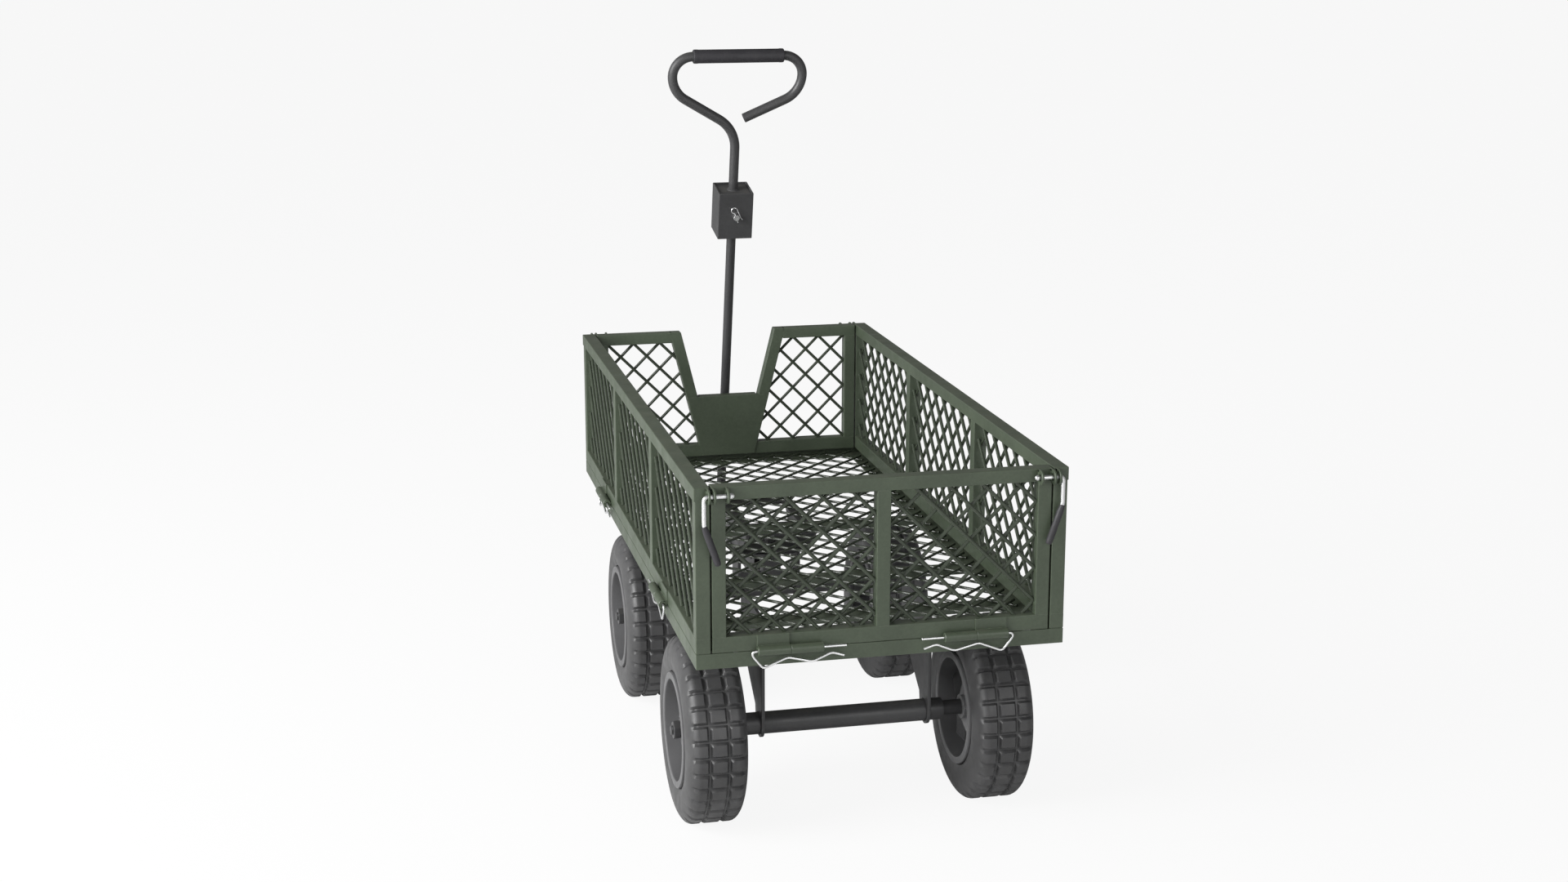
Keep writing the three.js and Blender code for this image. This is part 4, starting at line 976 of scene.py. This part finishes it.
def handle():
    tube = swept([(0, 0, -0.010), (0, 0, BOX_FLOOR - 0.0003)], HANDLE_TUBE, 40, 0.0006)
    piece("tow_tube_bar", [tube], CHARCOAL, "handle", ["tow_tube"], HANDLE)
    hitch_box()
    plug = BOX_HALF - 0.0033
    collar = block(-plug, plug, -plug, plug, BOX_TOP - 0.007, BOX_TOP - 0.003, 0.0008)
    bead = lathe([(0.0078, BOX_TOP - 0.0032), (0.0112, BOX_TOP - 0.0032), (0.0098, BOX_TOP - 0.0012),
                  (0.0078, BOX_TOP - 0.0002)], 40, True)
    bar = swept(loop_path(), HANDLE_TUBE, 32, 0.0005, 0.0062)
    piece("handle_loop_bar", [bar, collar, bead], CHARCOAL, "handle", ["handle_loop"], HANDLE)
    ends = [
        (0.0082, GRIP_HALF), (0.0104, GRIP_HALF), (0.0114, GRIP_HALF - 0.0008),
        (GRIP_RADIUS, GRIP_HALF - 0.0025), (GRIP_RADIUS, GRIP_HALF - 0.0075),
        (GRIP_RADIUS - 0.0003, GRIP_HALF - 0.0085),
    ]
    profile = [(r, -x) for r, x in ends] + list(reversed(ends))
    sleeve = lathe(profile, 48, True, Matrix.Translation((0, 0, GRIP_LEVEL)) @ ALONG_X)
    piece("handle_grip_sleeve", [sleeve], GRIP, "handle", ["handle_grip"], HANDLE)
    piece("hitch_pin_bar", [softened_copy("hitch_pin", 0.0007)], ZINC, "handle", ["hitch_pin"])
    clip = [(0, -0.0105), (0, 0.007), (-0.004, 0.010), (-0.005, 0.014), (-0.002, 0.0176), (0.003, 0.0176),
            (0.0056, 0.014), (0.006, 0.009), (0.0067, 0.003), (0.0067, -0.003), (0.009, -0.008)]
    wire = [(x, 0, z) for x, z in clip]
    lean = Matrix.Translation((0, -BOX_HALF - 0.005, PIN_LEVEL)) @ Matrix.Rotation(-CLIP_TILT, 4, "Y")
    piece("hitch_clip_wire", [swept(softened(wire, 0.003), CLIP_WIRE, 12, 0.0002)], ZINC, "clip",
          ["hitch_clip"], HANDLE @ lean)


# ---------------------------------------------------------------- studio
def studio_floor():
    """A wide pale floor that stays near white to the camera and keeps a faint contact shadow."""
    reach = 60.0
    mesh = bpy.data.meshes.new("studio_floor")
    mesh.from_pydata([(-reach, -reach, 0), (reach, -reach, 0), (reach, reach, 0), (-reach, reach, 0)], [],
                     [(0, 1, 2, 3)])
    material, tree, shader = blank("studio_floor")
    shader.inputs["Base Color"].default_value = (0.86, 0.86, 0.86, 1)
    shader.inputs["Roughness"].default_value = 0.9
    glow = add_node(tree, "ShaderNodeEmission", {"Color": (1, 1, 1, 1), "Strength": 1.005})
    seen = add_node(tree, "ShaderNodeLightPath").outputs["Is Camera Ray"]
    share = math_node(tree, "MULTIPLY", seen, 0.9)
    mix = add_node(tree, "ShaderNodeMixShader", {0: share, 1: shader.outputs[0], 2: glow.outputs[0]})
    tree.links.new(mix.outputs[0], tree.nodes["Material Output"].inputs["Surface"])
    mesh.materials.append(material)
    made = bpy.data.objects.new("studio_floor", mesh)
    bpy.context.scene.collection.objects.link(made)


def world():
    """Pale to the camera; to the cart, bright low down on the left and dimmer overhead and ahead."""
    made = bpy.data.worlds.new("studio")
    bpy.context.scene.world = made
    made.use_nodes = True
    tree = made.node_tree
    direction = add_node(tree, "ShaderNodeTexCoord").outputs["Generated"]
    parts = add_node(tree, "ShaderNodeSeparateXYZ", {0: direction})
    left = spread(tree, parts.outputs["X"], 1.25, 0.32, (-0.9, 0.5))
    overhead = spread(tree, parts.outputs["Z"], 1.0, 0.35, (0.15, 0.8))
    ahead = spread(tree, parts.outputs["Y"], 1.0, 0.55, (-0.2, 0.9))
    strength = math_node(tree, "MULTIPLY", math_node(tree, "MULTIPLY", left, overhead), ahead)
    seen = add_node(tree, "ShaderNodeLightPath").outputs["Is Camera Ray"]
    shown = add_node(tree, "ShaderNodeMix", {0: seen, 2: strength, 3: 0.93}, data_type="FLOAT").outputs[0]
    tree.links.new(shown, tree.nodes["Background"].inputs["Strength"])
    tree.nodes["Background"].inputs["Color"].default_value = (1, 1, 1, 1)


def area_light(name, place, target, size, power):
    data = bpy.data.lights.new(name, "AREA")
    data.shape = "DISK"
    data.size = size
    data.energy = power
    made = bpy.data.objects.new(name, data)
    made.location = place
    made.rotation_euler = (Vector(target) - Vector(place)).to_track_quat("-Z", "Y").to_euler()
    bpy.context.scene.collection.objects.link(made)


def studio():
    studio_floor()
    world()
    area_light("key_left", (-3.6, -1.2, 1.9), (0, 0, 0.4), 2.6, 190)
    area_light("fill_rear", (1.2, -4.0, 1.6), (0, 0, 0.4), 2.4, 25)
    data = bpy.data.cameras.new("camera")
    data.lens = 50
    data.sensor_width = 36
    made = bpy.data.objects.new("camera", data)
    made.location = CAMERA_AT
    made.rotation_euler = CAMERA_TURN
    bpy.context.scene.collection.objects.link(made)
    bpy.context.scene.camera = made
    bpy.context.scene.view_settings.view_transform = "Standard"


# ---------------------------------------------------------------- assembly
tray()
floor()
tailgate()
side_panel("left", ("rear", "middle", "front"))
side_panel("right", ("front", "middle", "rear"))
front_panel()
for panel in FACES:
    for which, hand in enumerate((-1, 1)):
        hinge_pin(panel, which, hand)
for panel in ("rear", "front"):
    for hand in (-1, 1):
        latch(panel, hand)
running_gear()
handle()
studio()
